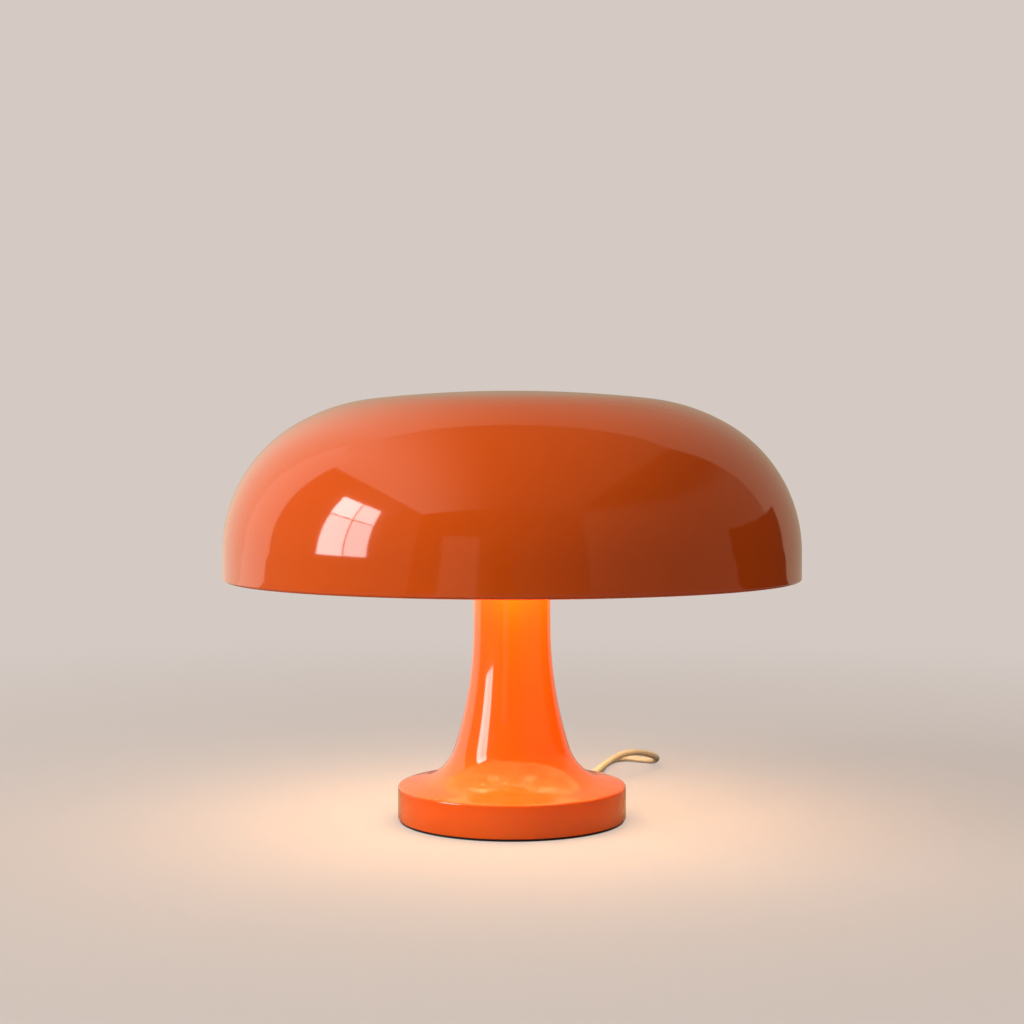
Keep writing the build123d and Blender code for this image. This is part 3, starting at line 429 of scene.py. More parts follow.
@dataclass
class ShadeDome:
    """The domed shade: flat crown, rolled shoulder, upright skirt, and a blind boss held by gussets."""

    paints: Paintbox
    radius: float = 160 * MM
    crown_curve: float = 692 * MM
    shoulder_curve: float = 105.5 * MM
    side_curve: float = 81.3 * MM
    side_start: float = 30.9
    wall: float = 3 * MM
    rim_round: float = 1.4 * MM
    boss_bore: float = 8.1 * MM
    boss_outer: float = 11.4 * MM
    boss_bottom: float = 198 * MM
    boss_fillet: float = 3 * MM
    boss_chamfer: float = 0.5 * MM
    gusset_count: int = 8
    gusset_reach: float = 50 * MM
    gusset_thickness: float = 2 * MM
    gusset_rise: float = 4 * MM
    gusset_foot: float = 0.5 * MM
    gusset_end: float = 0.6 * MM
    crown_steps: int = 10
    shoulder_steps: int = 14
    side_steps: int = 26
    skirt_rows: tuple[float, float] = (0.35, 0.7)
    round_steps: int = 5
    steps_round: int = 224

    def __post_init__(self) -> None:
        """Work out the dome's arcs from the frame's heights."""
        low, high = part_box("shade")
        self.top = high.z
        self.rim = low.z
        across = self.radius - self.side_curve
        lean = math.sin(math.radians(self.side_start)) * (self.shoulder_curve - self.side_curve)
        crown_to_shoulder = self.crown_curve - self.shoulder_curve
        self.crown_angle = math.degrees(math.asin((across - lean) / crown_to_shoulder))
        self.crown_centre = (0.0, self.top - self.crown_curve)
        self.shoulder_centre = self.beyond(self.crown_centre, crown_to_shoulder, self.crown_angle)
        self.side_centre = self.beyond(self.shoulder_centre, self.shoulder_curve - self.side_curve,
                                       self.side_start)

    @staticmethod
    def beyond(centre: tuple[float, float], distance: float, tilt: float) -> tuple[float, float]:
        """Point at a distance from a centre, tilted from upright by an angle in degrees."""
        lean = math.radians(tilt)
        return (centre[0] + distance * math.sin(lean), centre[1] + distance * math.cos(lean))

    def surface(self, inset: float) -> Outline:
        """Outline of the dome from its axis down to the skirt.

        Args:
            inset: distance inwards from the outer surface.

        Returns:
            The points, from the axis to where the skirt turns upright.
        """
        crown_end, shoulder_end = 90 - self.crown_angle, 90 - self.side_start
        crown = arc(self.crown_centre, self.crown_curve - inset, 90, crown_end, self.crown_steps)
        shoulder = arc(self.shoulder_centre, self.shoulder_curve - inset, crown_end, shoulder_end,
                       self.shoulder_steps)
        side = arc(self.side_centre, self.side_curve - inset, shoulder_end, 0, self.side_steps)
        return crown + shoulder[1:] + side[1:]

    def ceiling(self, radius: float) -> float:
        """Height of the crown's inner surface at a distance from the axis."""
        return self.crown_centre[1] + math.sqrt((self.crown_curve - self.wall) ** 2 - radius ** 2)

    def depth(self, radius: float, height: float) -> float:
        """Depth of a point below the dome's outer surface.

        Args:
            radius: the point's distance from the axis.
            height: its height.

        Returns:
            The depth in metres.
        """
        if height <= self.side_centre[1]:
            return self.radius - radius
        zones = (
            (self.side_centre, self.side_curve, self.side_start),
            (self.shoulder_centre, self.shoulder_curve, self.crown_angle),
            (self.crown_centre, self.crown_curve, 0.0),
        )
        for centre, curve, start in zones:
            across, up = radius - centre[0], height - centre[1]
            if math.degrees(math.atan2(across, up)) >= start:
                break
        return curve - math.hypot(across, up)

    def gussets(self) -> list[bpy.types.Object]:
        """Model one gusset between boss and crown and copy it round the boss.

        Returns:
            The gussets.
        """
        inner = (self.boss_bore + self.boss_outer) / 2
        foot = self.boss_bottom + self.gusset_rise
        reach_top = self.ceiling(self.gusset_reach)
        outline = [
            (inner, foot), (self.boss_outer + self.gusset_foot, foot),
            (self.gusset_reach, reach_top - self.gusset_end), (self.gusset_reach, reach_top + self.wall / 3),
            (inner, self.top - self.wall / 2),
        ]
        gusset = chain(outline, "shade_gusset_1")
        bpy.ops.mesh.select_all(action="SELECT")
        bpy.ops.mesh.edge_face_add()
        bpy.ops.mesh.extrude_region_move(TRANSFORM_OT_translate={"value": (0, self.gusset_thickness, 0)})
        bpy.ops.mesh.select_all(action="SELECT")
        bpy.ops.mesh.normals_make_consistent(inside=False)
        bpy.ops.transform.translate(value=(0, -self.gusset_thickness / 2, 0))
        bpy.ops.object.mode_set(mode="OBJECT")
        self.paints.dress(gusset, Finish.WHITE_LACQUER)
        pieces = [gusset] + [copy_of(gusset, f"shade_gusset_{number}")
                             for number in range(2, self.gusset_count + 1)]
        for index, piece in enumerate(pieces):
            place(piece, (0, 0, FULL_TURN / self.gusset_count * (index + 0.5)))
            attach(piece, "shade_top")
        return pieces

    def outline(self) -> Outline:
        """Outline of the whole wall: down outside, round the rim, up inside, and down and up the boss.

        Returns:
            The points, from the crown's top on the axis to the bore's blind end on the axis.
        """
        rim, fillet, chamfer = self.rim_round, self.boss_fillet, self.boss_chamfer
        inner_radius = self.radius - self.wall
        rim_outer = arc((self.radius - rim, self.rim + rim), rim, 0, -90, self.round_steps)
        rim_inner = arc((inner_radius + rim, self.rim + rim), rim, -90, -180, self.round_steps)
        skirt_start = self.side_centre[1]
        rows = [skirt_start + (self.rim - skirt_start) * part for part in self.skirt_rows]
        skirt = [(self.radius, height) for height in rows]
        skirt_in = [(inner_radius, height) for height in reversed(rows)]
        under_crown = [point for point in reversed(self.surface(self.wall))
                       if point[0] > self.boss_outer + fillet]
        boss = arc((self.boss_outer + fillet, self.ceiling(self.boss_outer) - fillet), fillet, 90, 180,
                   self.round_steps)
        boss += [
            (self.boss_outer, self.boss_bottom + chamfer), (self.boss_outer - chamfer, self.boss_bottom),
            (self.boss_bore + chamfer, self.boss_bottom), (self.boss_bore, self.boss_bottom + chamfer),
            (self.boss_bore, self.top - self.wall), (0.0, self.top - self.wall),
        ]
        return self.surface(0.0) + skirt + rim_outer + rim_inner + skirt_in + under_crown + boss

    def make(self) -> list[bpy.types.Object]:
        """Model the shade and put it in place of its plain node.

        Returns:
            The shade and its gussets.
        """
        shade = lathe(self.outline(), "shade_dome", self.steps_round)
        self.paints.dress(shade, Finish.ORANGE_ABS, Finish.WHITE_LACQUER)
        for face in shade.data.polygons:
            inside = self.depth(face.center.xy.length, face.center.z) > self.wall / 2
            face.material_index = int(inside and face.center.z > self.rim + self.rim_round)
        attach(shade, "shade_top")
        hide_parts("shade")
        return [shade] + self.gussets()


@dataclass
class StemAndBase:
    """The base disc that sweeps up through a foot blend and a trumpet into the stem."""

    paints: Paintbox
    stem_radius: float = 21.5 * MM
    disc_radius: float = 63.75 * MM
    wall: float = 3 * MM
    edge_height: float = 19.4 * MM
    edge_round: float = 1.5 * MM
    foot_round: float = 0.4 * MM
    top_chamfer: float = 0.4 * MM
    disc_slope: float = 10.66
    blend_curve: float = 27.9 * MM
    blend_end: float = 17.36
    trumpet_curve: float = 231.7 * MM
    trumpet_steps: int = 18
    blend_steps: int = 22
    edge_steps: int = 6
    foot_steps: int = 3
    steps_round: int = 192

    def surface(self, inset: float) -> Outline:
        """Outline from the stem's straight part down to the disc's slope.

        Args:
            inset: distance inwards from the outer surface.

        Returns:
            The points, from the end of the stem's straight part to the start of the slope.
        """
        lean, slope = math.radians(self.blend_end), math.radians(self.disc_slope)
        trumpet_end = self.stem_radius + self.trumpet_curve * (1 - math.cos(lean))
        blend_radius = trumpet_end + self.blend_curve * math.cos(lean)
        slope_end = blend_radius - self.blend_curve * math.sin(slope)
        slope_height = self.edge_height + (self.disc_radius - slope_end) * math.tan(slope)
        blend_centre = (blend_radius, slope_height + self.blend_curve * math.cos(slope))
        trumpet_height = blend_centre[1] + (self.trumpet_curve - self.blend_curve) * math.sin(lean)
        trumpet_centre = (self.stem_radius + self.trumpet_curve, trumpet_height)
        trumpet = arc(trumpet_centre, self.trumpet_curve + inset, 180, 180 + self.blend_end,
                      self.trumpet_steps)
        blend = arc(blend_centre, self.blend_curve + inset, 180 + self.blend_end, 270 - self.disc_slope,
                    self.blend_steps)
        return trumpet + blend[1:]

    def make(self) -> list[bpy.types.Object]:
        """Model the moulding and put it in place of its plain node.

        Returns:
            The stem and base, as one piece.
        """
        low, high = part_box("body")
        slope = math.radians(self.disc_slope)
        reach = self.edge_round * math.tan((math.pi / 2 - slope) / 2)
        edge_centre = (self.disc_radius - self.edge_round, self.edge_height - reach)
        edge = arc(edge_centre, self.edge_round, 90 - self.disc_slope, 0, self.edge_steps)
        foot_centre = (self.disc_radius - self.foot_round, low.z + self.foot_round)
        foot = arc(foot_centre, self.foot_round, 0, -90, self.foot_steps)
        inner_stem = self.stem_radius - self.wall
        inner_rim = self.disc_radius - self.wall
        inner_corner = self.edge_height + self.wall * (math.tan(slope) - 1 / math.cos(slope))
        outline = [(inner_stem, high.z), (self.stem_radius - self.top_chamfer, high.z),
                   (self.stem_radius, high.z - self.top_chamfer)]
        outline += self.surface(0.0) + edge + foot + [(inner_rim, low.z), (inner_rim, inner_corner)]
        outline += list(reversed(self.surface(self.wall))) + [(inner_stem, high.z)]
        body = lathe(outline, "stem_and_base", self.steps_round)
        self.paints.dress(body, Finish.ORANGE_ABS)
        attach(body, "lamp")
        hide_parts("body")
        return [body]


# ---------------- bulbs


@dataclass
class Globes:
    """The small globe bulbs: opal glass on a rolled metal cap, one in each lampholder, and their light."""

    paints: Paintbox
    count: int = 4
    globe_radius: float = 22.5 * MM
    neck_radius: float = 8.3 * MM
    neck_chamfer: float = 0.6 * MM
    throat_curve: float = 14 * MM
    bulb_length: float = 78 * MM
    tip: float = 29.2 * MM
    glass_start: float = 52.5 * MM
    # The cap's blind end from its contact to its shoulder: radius, and distance from the tip.
    cap_end: tuple[tuple[float, float], ...] = (
        (0.0, 0.0), (2.0 * MM, 0.0), (2.4 * MM, 0.4 * MM), (2.4 * MM, 1.2 * MM), (4.6 * MM, 2.2 * MM),
        (6.35 * MM, 3.5 * MM))
    cap_radius: float = 6.95 * MM
    thread_start: float = 4.1 * MM
    thread_end: float = 3 * MM
    thread_pitch: float = 2.8 * MM
    thread_depth: float = 0.55 * MM
    thread_steps: int = 8
    collar: float = 1 * MM
    throat_steps: int = 10
    globe_steps: int = 34
    glass_steps_round: int = 72
    cap_steps_round: int = 48
    glow_colour: str = "#FFCF94"
    globe_power: float = 0.36
    globe_clear: float = 1.5 * MM
    neck_power: float = 0.23
    neck_light_radius: float = 5 * MM
    neck_light_drop: float = 24 * MM
    mouth_glow_power: float = 0.62
    mouth_shine_power: float = 1.7
    mouth_margin: float = 8 * MM
    mouth_rise: float = 1 * MM

    def __post_init__(self) -> None:
        """Work out how far from the lamp's axis a globe's middle lies."""
        self.globe_reach = self.tip + self.bulb_length - self.globe_radius

    def glass_outline(self) -> Outline:
        """Outline of the glass along the bulb.

        Returns:
            Points as (radius, distance from the lamp's axis).
        """
        across = self.neck_radius + self.throat_curve
        along = math.sqrt((self.globe_radius + self.throat_curve) ** 2 - across ** 2)
        tilt = math.degrees(math.atan2(along, across))
        neck = [(0.0, self.glass_start), (self.neck_radius - self.neck_chamfer, self.glass_start),
                (self.neck_radius, self.glass_start + self.neck_chamfer)]
        throat = arc((across, self.globe_reach - along), self.throat_curve, 180, 180 - tilt,
                     self.throat_steps)
        globe = arc((0.0, self.globe_reach), self.globe_radius, -tilt, 90, self.globe_steps)
        return neck + throat + globe[1:]

    def cap_outline(self) -> Outline:
        """Outline of the metal cap with its rolled thread.

        Returns:
            Points as (radius, distance from the lamp's axis).
        """
        start = self.tip + self.thread_start
        turns = int((self.glass_start - self.thread_end - start) / self.thread_pitch)
        points = [(radius, self.tip + rise) for radius, rise in self.cap_end]
        for step in range(turns * self.thread_steps + 1):
            turn = step / self.thread_steps
            groove = self.thread_depth * (1 + math.cos(FULL_TURN * turn)) / 2
            points.append((self.cap_radius - groove, start + self.thread_pitch * turn))
        points += [(self.cap_radius, points[-1][1] + self.collar), (self.cap_radius, self.glass_start),
                   (0.0, self.glass_start)]
        return points

    def make(self) -> list[bpy.types.Object]:
        """Model one bulb, copy it to each lampholder and put the copies in place of the plain nodes.

        Returns:
            Every glass and cap.
        """
        model = {
            "glass": lathe(self.glass_outline(), "globe_glass_1", self.glass_steps_round),
            "cap": lathe(self.cap_outline(), "globe_cap_1", self.cap_steps_round),
        }
        looks = {"glass": (Finish.OPAL_GLASS, "opal_glass"), "cap": (Finish.NICKEL_BRASS, "nickel")}
        bulbs = [model] + [{kind: copy_of(piece, f"globe_{kind}_{number}") for kind, piece in model.items()}
                           for number in range(2, self.count + 1)]
        made = []
        for number, bulb in enumerate(bulbs, start=1):
            axis = frame_axis(f"bulb_{number}_out")
            angle = math.atan2(axis.y, axis.x)
            low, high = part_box(f"bulb_glass_{number}")
            height = (low.z + high.z) / 2
            for kind, piece in bulb.items():
                finish, slot = looks[kind]
                place(piece, (0, math.pi / 2, angle), (0, 0, height))
                self.paints.dress(piece, finish)
                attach(piece, f"bulb_{number}")
                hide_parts(f"bulb_{kind}_{number}")
                made.append(piece)
            self.light_bulb(number, angle, height)
        self.light_mouth()
        return made

    def light_bulb(self, number: int, angle: float, height: float) -> None:
        """Put a globe's own warm light just round its glass, and a little of its glow beside the stem's top.

        Args:
            number: the bulb's number.
            angle: azimuth of its axis.
            height: height of its axis.
        """
        lights = (
            ("globe_light", self.globe_power, self.globe_radius + self.globe_clear, self.globe_reach, 0.0,
             0.0),
            ("neck_light", self.neck_power, self.neck_light_radius, self.glass_start, -math.pi / 4,
             self.neck_light_drop),
        )
        for name, power, radius, reach, turn, drop in lights:
            spot = Vector((reach * math.cos(angle + turn), reach * math.sin(angle + turn), height - drop))
            add_light(f"{name}_{number}", "POINT", spot, {
                "energy": power, "color": linear(self.glow_colour)[:3], "shadow_soft_size": radius,
            }, ("camera", "glossy"))

    def light_mouth(self) -> None:
        """Add the light that leaves the shade's mouth: two discs that face down, the second for gloss."""
        low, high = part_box("shade")
        discs = (("mouth_glow", self.mouth_glow_power, "glossy"),
                 ("mouth_shine", self.mouth_shine_power, "diffuse"))
        for name, power, hidden in discs:
            add_light(name, "AREA", Vector((0.0, 0.0, low.z + self.mouth_rise)), {
                "shape": "DISK", "size": high.x - low.x - self.mouth_margin, "energy": power,
                "color": linear(self.glow_colour)[:3],
            }, ("camera", hidden))


# ---------------- cord


@dataclass
class MainsCord:
    """Round cream cord from the bush, through the switch, into its coil and on to the plug."""

    paints: Paintbox
    diameter: float = 4 * MM
    length: float = 1.79
    lay: float = 2.05 * MM
    layer_step: float = 4.5 * MM
    coil_centre: tuple[float, float] = (-3 * MM, 155 * MM)
    coil_inner: float = 10.5 * MM
    coil_pitch: float = 4.6 * MM
    turns_in: float = 5.0
    climb: float = 0.5
    turns_out: float = 4.5
    points_per_turn: int = 16
    steps_along: int = 6
    steps_round: int = 5

    def front(self) -> Route:
        """Route from the bush, up off the table, round its bend and to the switch, in millimetres."""
        lay = self.lay / MM
        return [
            (42.85, 74.22, 9.5), (49.35, 85.48, 9.7), (58.0, 107.5, 12.6), (69.0, 130.5, 15.0),
            (82.5, 148.5, 13.6), (95.0, 163.0, 7.6), (93.8, 176.1, 2.8), (85.5, 187.0, lay),
            (76.5, 192.5, lay), (69.2, 188.5, lay), (64.0, 177.0, lay), (60.3, 163.5, lay),
            (57.6, 149.0, lay), (54.7, 132.0, lay), (51.5, 114.0, lay), (44.5, 100.0, 3.8),
            (35.0, 95.0, 6.5), (26.0, 95.0, 6.5),
        ]

    def link(self) -> Route:
        """Route from the switch to the coil, in millimetres."""
        lay = self.lay / MM
        return [
            (-34.0, 95.0, 6.5), (-42.5, 95.0, 6.5), (-50.5, 98.2, 4.8), (-55.0, 105.5, 3.2),
            (-55.5, 115.0, 2.2), (-51.5, 124.0, lay), (-44.5, 131.0, lay), (-39.3, 136.0, lay),
            (-36.76, 143.5, lay),
        ]

    def tail(self) -> Route:
        """Route from the coil to the plug, in millimetres."""
        return [
            (-34.48, 167.0, 6.55), (-33.6, 177.0, 5.6), (-28.5, 186.0, 4.2), (-20.5, 192.5, 3.2),
            (-12.0, 198.0, 3.6), (-5.5, 205.0, 5.4), (-3.0, 213.0, 6.85), (-3.0, 222.0, 6.85),
        ]

    def coil(self) -> Route:
        """Points of the coil's turns, in metres: in on the table, up a layer, and out on top.

        Returns:
            The points.
        """
        total = self.turns_in + self.climb + self.turns_out
        half = self.climb / 2
        spread = math.cos(math.pi / self.points_per_turn)
        points = []
        for index in range(round(total * self.points_per_turn) + 1):
            turn = index / self.points_per_turn
            from_middle = turn - self.turns_in - half
            if abs(from_middle) >= half:
                radius = self.coil_inner + self.coil_pitch * (abs(from_middle) - half)
                rise = self.layer_step if from_middle > 0 else 0.0
            else:
                radius = self.coil_inner - self.coil_pitch * (half ** 2 - from_middle ** 2) / self.climb
                rise = self.layer_step * (1 + math.sin(math.pi * from_middle / self.climb)) / 2
            angle = math.pi - FULL_TURN * turn
            points.append((self.coil_centre[0] + radius / spread * math.cos(angle),
                           self.coil_centre[1] + radius / spread * math.sin(angle), self.lay + rise))
        return points

    @staticmethod
    def in_metres(route: Route) -> Route:
        """A route in millimetres, in metres."""
        return [(x * MM, y * MM, z * MM) for x, y, z in route]

    def make(self) -> list[bpy.types.Object]:
        """Returns:
            The cord.
        """
        route = self.in_metres(self.front() + self.link()) + self.coil() + self.in_metres(self.tail())
        data = bpy.data.curves.new("mains_cord", "CURVE")
        data.dimensions = "3D"
        spline = data.splines.new("NURBS")
        spline.points.add(len(route) - 1)
        for point, at in zip(spline.points, route):
            point.co = (*at, 1.0)
        spline.order_u = 3
        spline.use_endpoint_u = True
        data.resolution_u = self.steps_along
        data.bevel_depth = self.diameter / 2
        data.bevel_resolution = self.steps_round
        data.use_fill_caps = True
        cord = bpy.data.objects.new("mains_cord", data)
        bpy.context.scene.collection.objects.link(cord)
        self.paints.dress(cord, Finish.CREAM_PVC)
        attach(cord, "lamp")
        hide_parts("cord_front", "cord_link", "cord_coil", "cord_tail")
        return [cord]


# ---------------- camera, floor and light


@dataclass(frozen=True)
class Screen:
    """A screen far off, square to an axis, whose level goes from first to last along another axis."""

    axis: str
    distance: float
    across: str
    start: float
    end: float
    first: float
    last: float


@dataclass(frozen=True)
class Strip:
    """An upright strip on the negative or positive side of an axis."""

    axis: str
    side: float
    across: str
    centre: float
    half_width: float
    top: float
    level: float


@dataclass
class Surround:
    """What gloss alone mirrors far off: a box of pale screens with strips, warmest where it is dim.

    A way is the step from the lamp towards a far point, as a vector of length 1. The start and end of a
    screen and the top of a strip are parts of it; the centre and half_width are its slope across the axis.
    """

    near: float = -2.47
    near_level: float = 0.13
    dim_colour: str = "#F4CDA0"
    bright_colour: str = "#FFF0DA"
    # Left, right, upper and rear. The near one has a single level.
    screens: tuple[Screen, ...] = (
        Screen("X", -1.9, "Z", 0.1, 0.5, 0.3, 0.28),
        Screen("X", 1.33, "Z", 0.5, 0.65, 0.24, 0.08),
        Screen("Z", 1.9, "X", -0.62, -0.05, 0.95, 0.2),
        Screen("Y", 0.82, "X", -0.45, 0.05, 0.85, 0.42),
    )
    strips: tuple[Strip, ...] = (
        Strip("X", -1.0, "Y", -0.53, 0.23, 0.75, 1.0),
        Strip("Y", -1.0, "X", 0.36, 0.14, 0.3, 0.42),
        Strip("Y", -1.0, "X", 0.07, 0.07, 0.25, 0.06),
        Strip("X", 1.0, "Y", 0.45, 0.4, 0.22, 0.04),
    )

    def level(self, tree: bpy.types.NodeTree, way: bpy.types.NodeOutputs) -> bpy.types.Node:
        """Add the level of the screen that a way meets first, with the strips over it.

        Args:
            tree: node tree that takes the nodes.
            way: the way's X, Y and Z.

        Returns:
            The node that gives the level.
        """
        level = add_node(tree, "Value")
        level.outputs[0].default_value = self.near_level
        share = add_node(tree, "Math", {"operation": "DIVIDE", 1: self.near}, {0: way["Y"]})
        for screen in self.screens:
            own = add_node(tree, "Math", {"operation": "DIVIDE", 1: screen.distance}, {0: way[screen.axis]})
            wins = add_node(tree, "Math", {"operation": "GREATER_THAN"}, {0: own, 1: share})
            share = add_node(tree, "Math", {"operation": "MAXIMUM"}, {0: own, 1: share})
            paint = add_node(tree, "MapRange", {
                "interpolation_type": "SMOOTHSTEP", "From Min": screen.start, "From Max": screen.end,
                "To Min": screen.first, "To Max": screen.last,
            }, {"Value": way[screen.across]})
            level = add_node(tree, "Mix", None, {0: wins, 2: level, 3: paint})
        for strip in self.strips:
            slope = add_node(tree, "Math", {"operation": "DIVIDE"},
                             {0: way[strip.across], 1: way[strip.axis]})
            inside = add_node(tree, "Math", {
                "operation": "COMPARE", 1: strip.centre, 2: strip.half_width}, {0: slope})
            facing = add_node(tree, "Math", {"operation": "MULTIPLY", 1: strip.side}, {0: way[strip.axis]})
            ahead = add_node(tree, "Math", {"operation": "GREATER_THAN", 1: 0.0}, {0: facing})
            low = add_node(tree, "Math", {"operation": "LESS_THAN", 1: strip.top}, {0: way["Z"]})
            both = add_node(tree, "Math", {"operation": "MULTIPLY"}, {0: ahead, 1: low})
            shown = add_node(tree, "Math", {"operation": "MULTIPLY"}, {0: both, 1: inside})
            level = add_node(tree, "Mix", {3: strip.level}, {0: shown, 2: level})
        return level

    def add(self, tree: bpy.types.NodeTree) -> dict[str, bpy.types.NodeSocket | bpy.types.Node]:
        """Add the whole surround as seen from the lamp.

        Args:
            tree: node tree that takes the nodes.

        Returns:
            What gives an emission its colour and strength.
        """
        spot = add_node(tree, "NewGeometry")
        unit = add_node(tree, "VectorMath", {"operation": "NORMALIZE"}, {0: spot.outputs["Position"]})
        way = add_node(tree, "SeparateXYZ", None, {0: unit}).outputs
        level = self.level(tree, way)
        colour = add_node(tree, "Mix", {
            "data_type": "RGBA", 6: linear(self.dim_colour), 7: linear(self.bright_colour)}, {0: level})
        return {"Color": colour.outputs[2], "Strength": level}


@dataclass
class Portrait:
    """Camera, pale floor, soft light, and a soft light in four panes for the gloss."""

    surround: Surround = field(default_factory=Surround)
    distance: float = 1.0104
    eye_height: float = 0.2011
    pitch_down: float = 1.658
    lens: float = 63.65
    sensor: float = 36.0
    back_colour: str = "#D5CAC3"
    floor_colour: str = "#7E756D"
    floor_size: float = 30.0
    floor_drop: float = 0.2 * MM
    floor_roughness: float = 0.6
    floor_lift: float = 0.66
    fade_start: float = 0.25
    fade_end: float = 1.1
    soft_colour: str = "#F2E8E2"
    soft_level: float = 0.46
    pane_centres: tuple[float, float] = (-0.68, -1.14)
    pane_width: float = 0.435
    pane_rows: tuple[tuple[float, float], ...] = ((0.21, 1.005), (1.03, 1.47))
    pane_level: float = 6.6
    upper_gain: float = 0.25
    near_loss: float = 0.15
    key_place: tuple[float, float, float] = (-1.76, -0.86, 1.17)
    key_aim: tuple[float, float, float] = (0.0, 0.0, 0.17)
    key_size: float = 1.1
    key_power: float = 37.0

    def camera(self) -> None:
        """Set the camera at the photograph's viewing angle."""
        data = bpy.data.cameras.new("camera")
        data.lens = self.lens
        data.sensor_width = self.sensor
        eye = bpy.data.objects.new("camera", data)
        eye.location = (0.0, -self.distance, self.eye_height)
        eye.rotation_euler = (math.radians(90 - self.pitch_down), 0.0, 0.0)
        bpy.context.scene.collection.objects.link(eye)
        bpy.context.scene.camera = eye

    @staticmethod
    def seen(tree: bpy.types.NodeTree) -> bpy.types.Node:
        """Add the part of the light paths that the eye follows, straight or through gloss and glass.

        Args:
            tree: node tree that takes the nodes.

        Returns:
            The node that gives 1 on those paths.
        """
        paths = add_node(tree, "LightPath").outputs
        straight = add_node(tree, "Math", {"operation": "MAXIMUM"},
                            {0: paths["Is Camera Ray"], 1: paths["Is Transmission Ray"]})
        return add_node(tree, "Math", {"operation": "MAXIMUM"}, {0: straight, 1: paths["Is Glossy Ray"]})

    def floor_material(self) -> bpy.types.Material:
        """Make the floor's finish: pale round the lamp, the background's colour far off, clear below.

        Returns:
            The material.
        """
        material, tree = new_material("floor_pale")
        shader = add_node(tree, "BsdfPrincipled", {
            "Base Color": linear(self.floor_colour), "Roughness": self.floor_roughness,
            "Specular IOR Level": 0.0, "Emission Color": linear(self.back_colour),
        })
        paths = add_node(tree, "LightPath").outputs
        straight = add_node(tree, "Math", {"operation": "MAXIMUM"},
                            {0: paths["Is Camera Ray"], 1: paths["Is Transmission Ray"]})
        lift = add_node(tree, "Math", {"operation": "MULTIPLY", 1: self.floor_lift}, {0: straight})
        tree.links.new(lift.outputs[0], shader.inputs["Emission Strength"])
        spot = add_node(tree, "TexCoord")
        reach = add_node(tree, "VectorMath", {"operation": "LENGTH"}, {0: spot.outputs["Object"]})
        fade = add_node(tree, "MapRange", {
            "interpolation_type": "SMOOTHSTEP", "From Min": self.fade_start, "From Max": self.fade_end,
            "To Min": 0.0, "To Max": 1.0,
        }, {"Value": reach.outputs["Value"]})
        far = add_node(tree, "Emission", {"Color": linear(self.back_colour)})
        far_share = add_node(tree, "Math", {"operation": "MULTIPLY"},
                             {0: fade, 1: self.seen(tree)})
        pale = add_node(tree, "MixShader", None,
                        {0: far_share, 1: shader, 2: far})
        mirrored = add_node(tree, "Emission", None, self.surround.add(tree))
        gloss_share = add_node(tree, "Math", {"operation": "MULTIPLY"},
                               {0: fade, 1: paths["Is Glossy Ray"]})
        upper = add_node(tree, "MixShader", None,
                         {0: gloss_share, 1: pale, 2: mirrored})
        face = add_node(tree, "NewGeometry")
        clear = add_node(tree, "BsdfTransparent")
        sided = add_node(tree, "MixShader", None,
                         {0: face.outputs["Backfacing"], 1: upper, 2: clear})
        add_node(tree, "OutputMaterial", None, {"Surface": sided})
        return material

    def floor(self) -> None:
        """Lay the floor, which keeps the lamp's shadow and warm light."""
        bpy.ops.object.select_all(action="DESELECT")
        bpy.ops.mesh.primitive_plane_add(size=self.floor_size, location=(0, 0, -self.floor_drop))
        plane = bpy.context.object
        plane.name = "floor"
        plane.data.materials.append(self.floor_material())

    def world(self) -> None:
        """Set a pale background, an even soft light, and the surround for gloss."""
        world = bpy.data.worlds.new("studio")
        world.use_nodes = True
        tree = world.node_tree
        tree.nodes.clear()
        soft = add_node(tree, "Background", {
            "Color": linear(self.soft_colour), "Strength": self.soft_level})
        mirrored = add_node(tree, "Background", None, self.surround.add(tree))
        back = add_node(tree, "Background", {"Color": linear(self.back_colour), "Strength": 1.0})
        paths = add_node(tree, "LightPath").outputs
        unseen = add_node(tree, "MixShader", None,
                          {0: paths["Is Glossy Ray"], 1: soft, 2: mirrored})
        mix = add_node(tree, "MixShader", None,
                       {0: paths["Is Camera Ray"], 1: unseen, 2: back})
        add_node(tree, "OutputWorld", None, {"Surface": mix})
        bpy.context.scene.world = world

    def area(self, name: str, at: Vector, facing: Vector, settings: dict, hidden: str) -> None:
        """Add a white rectangular light that shines one way.

        Args:
            name: the light's name.
            at: its place in metres.
            facing: the way it shines.
            settings: its size, size_y and energy.
            hidden: the kind of ray that doesn't see it.
        """
        light = add_light(name, "AREA", at, {"shape": "RECTANGLE", **settings}, (hidden,))
        light.rotation_euler = facing.to_track_quat("-Z", "Y").to_euler()

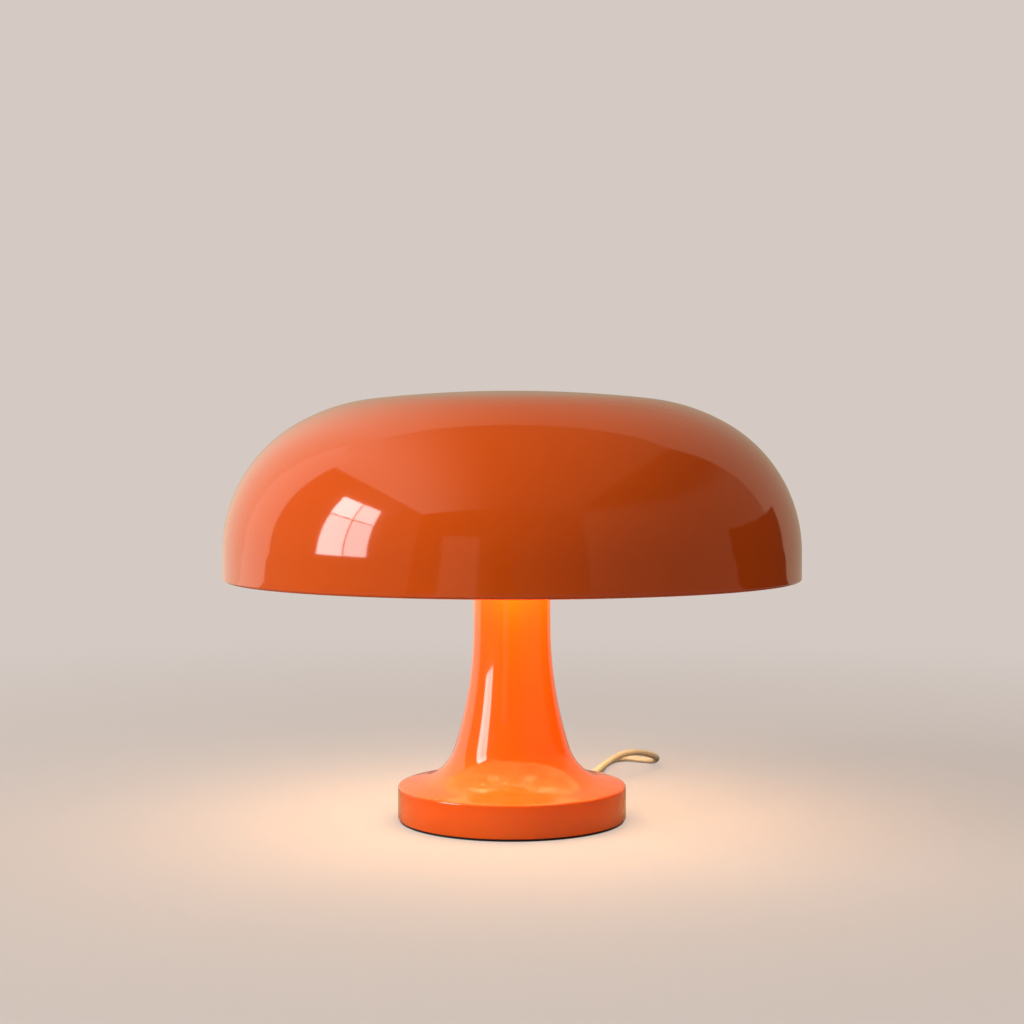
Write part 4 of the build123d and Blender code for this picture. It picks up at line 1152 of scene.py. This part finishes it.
    def panes(self) -> None:
        """Hang the four panes of the gloss's light at the left screen: two tall, and two short above."""
        for column, centre in enumerate(self.pane_centres):
            for row, (bottom, top) in enumerate(self.pane_rows):
                width, height = self.pane_width, top - bottom
                level = self.pane_level * (1 + self.upper_gain * row) * (1 - self.near_loss * column)
                at = Vector((self.surround.screens[0].distance, centre, (bottom + top) / 2))
                self.area(f"pane_{column}_{row}", at, Vector((1, 0, 0)), {
                    "size": width, "size_y": height, "energy": level * math.pi * width * height}, "diffuse")

    def make(self) -> None:
        """Set up everything around the lamp but the camera."""
        self.floor()
        self.world()
        self.panes()
        key = Vector(self.key_place)
        self.area("soft_key", key, Vector(self.key_aim) - key, {
            "size": self.key_size, "size_y": self.key_size, "energy": self.key_power}, "glossy")
        bpy.context.scene.view_settings.view_transform = "Standard"


# ---------------- putting it together


@dataclass
class Fittings:
    """The CAD nodes that stay, and the finish of each."""

    paints: Paintbox
    names: ClassVar[dict[Finish, tuple[str, ...]]] = {
        Finish.WHITE_NYLON: (
            "lamp_carrier", "shade_post", "junction_block", "terminal_block", "cord_clamp", "cord_cores",
            "riser_wires", "hub_leads", "lampholder_1", "lampholder_2", "lampholder_3", "lampholder_4"),
        Finish.BLACK_ABS: ("bottom_cover",),
        Finish.BLACK_RUBBER: ("foot_ring", "shade_seat_ring"),
        Finish.CAST_IRON: ("ballast_weight",),
        Finish.ZINC_STEEL: (
            "threaded_tube", "tube_nuts", "tube_washers", "cover_screws", "clamp_screws", "post_screws",
            "switch_screws"),
        Finish.BRASS: (
            "thread_sleeves", "centre_contacts", "terminal_screws", "switch_contacts", "plug_pins"),
        Finish.CREAM_PVC: ("cord_bush", "cord_inside"),
        Finish.CREAM_UREA: ("switch_base", "switch_cover", "switch_rocker", "plug_body"),
    }

    def make(self) -> list[bpy.types.Object]:
        """Give every CAD node that stays its finish.

        Returns:
            The nodes' objects.
        """
        dressed = []
        for finish, names in self.names.items():
            for name in names:
                self.paints.dress(frame["nodes"][name], finish)
                dressed.append(frame["nodes"][name])
        return dressed


def main() -> None:
    """Build the lamp in order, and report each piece."""
    logging.basicConfig(level=logging.INFO, format="%(name)s: %(message)s")
    paints = Paintbox()
    portrait = Portrait()
    portrait.camera()
    for assembly in (MainsCord, ShadeDome, StemAndBase, Globes, Fittings):
        for piece in assembly(paints).make():
            log.info("%s, %s: %s", assembly.__name__, piece.name, piece.data.materials[0].name)
    portrait.make()


if __name__ == "__main__":
    main()
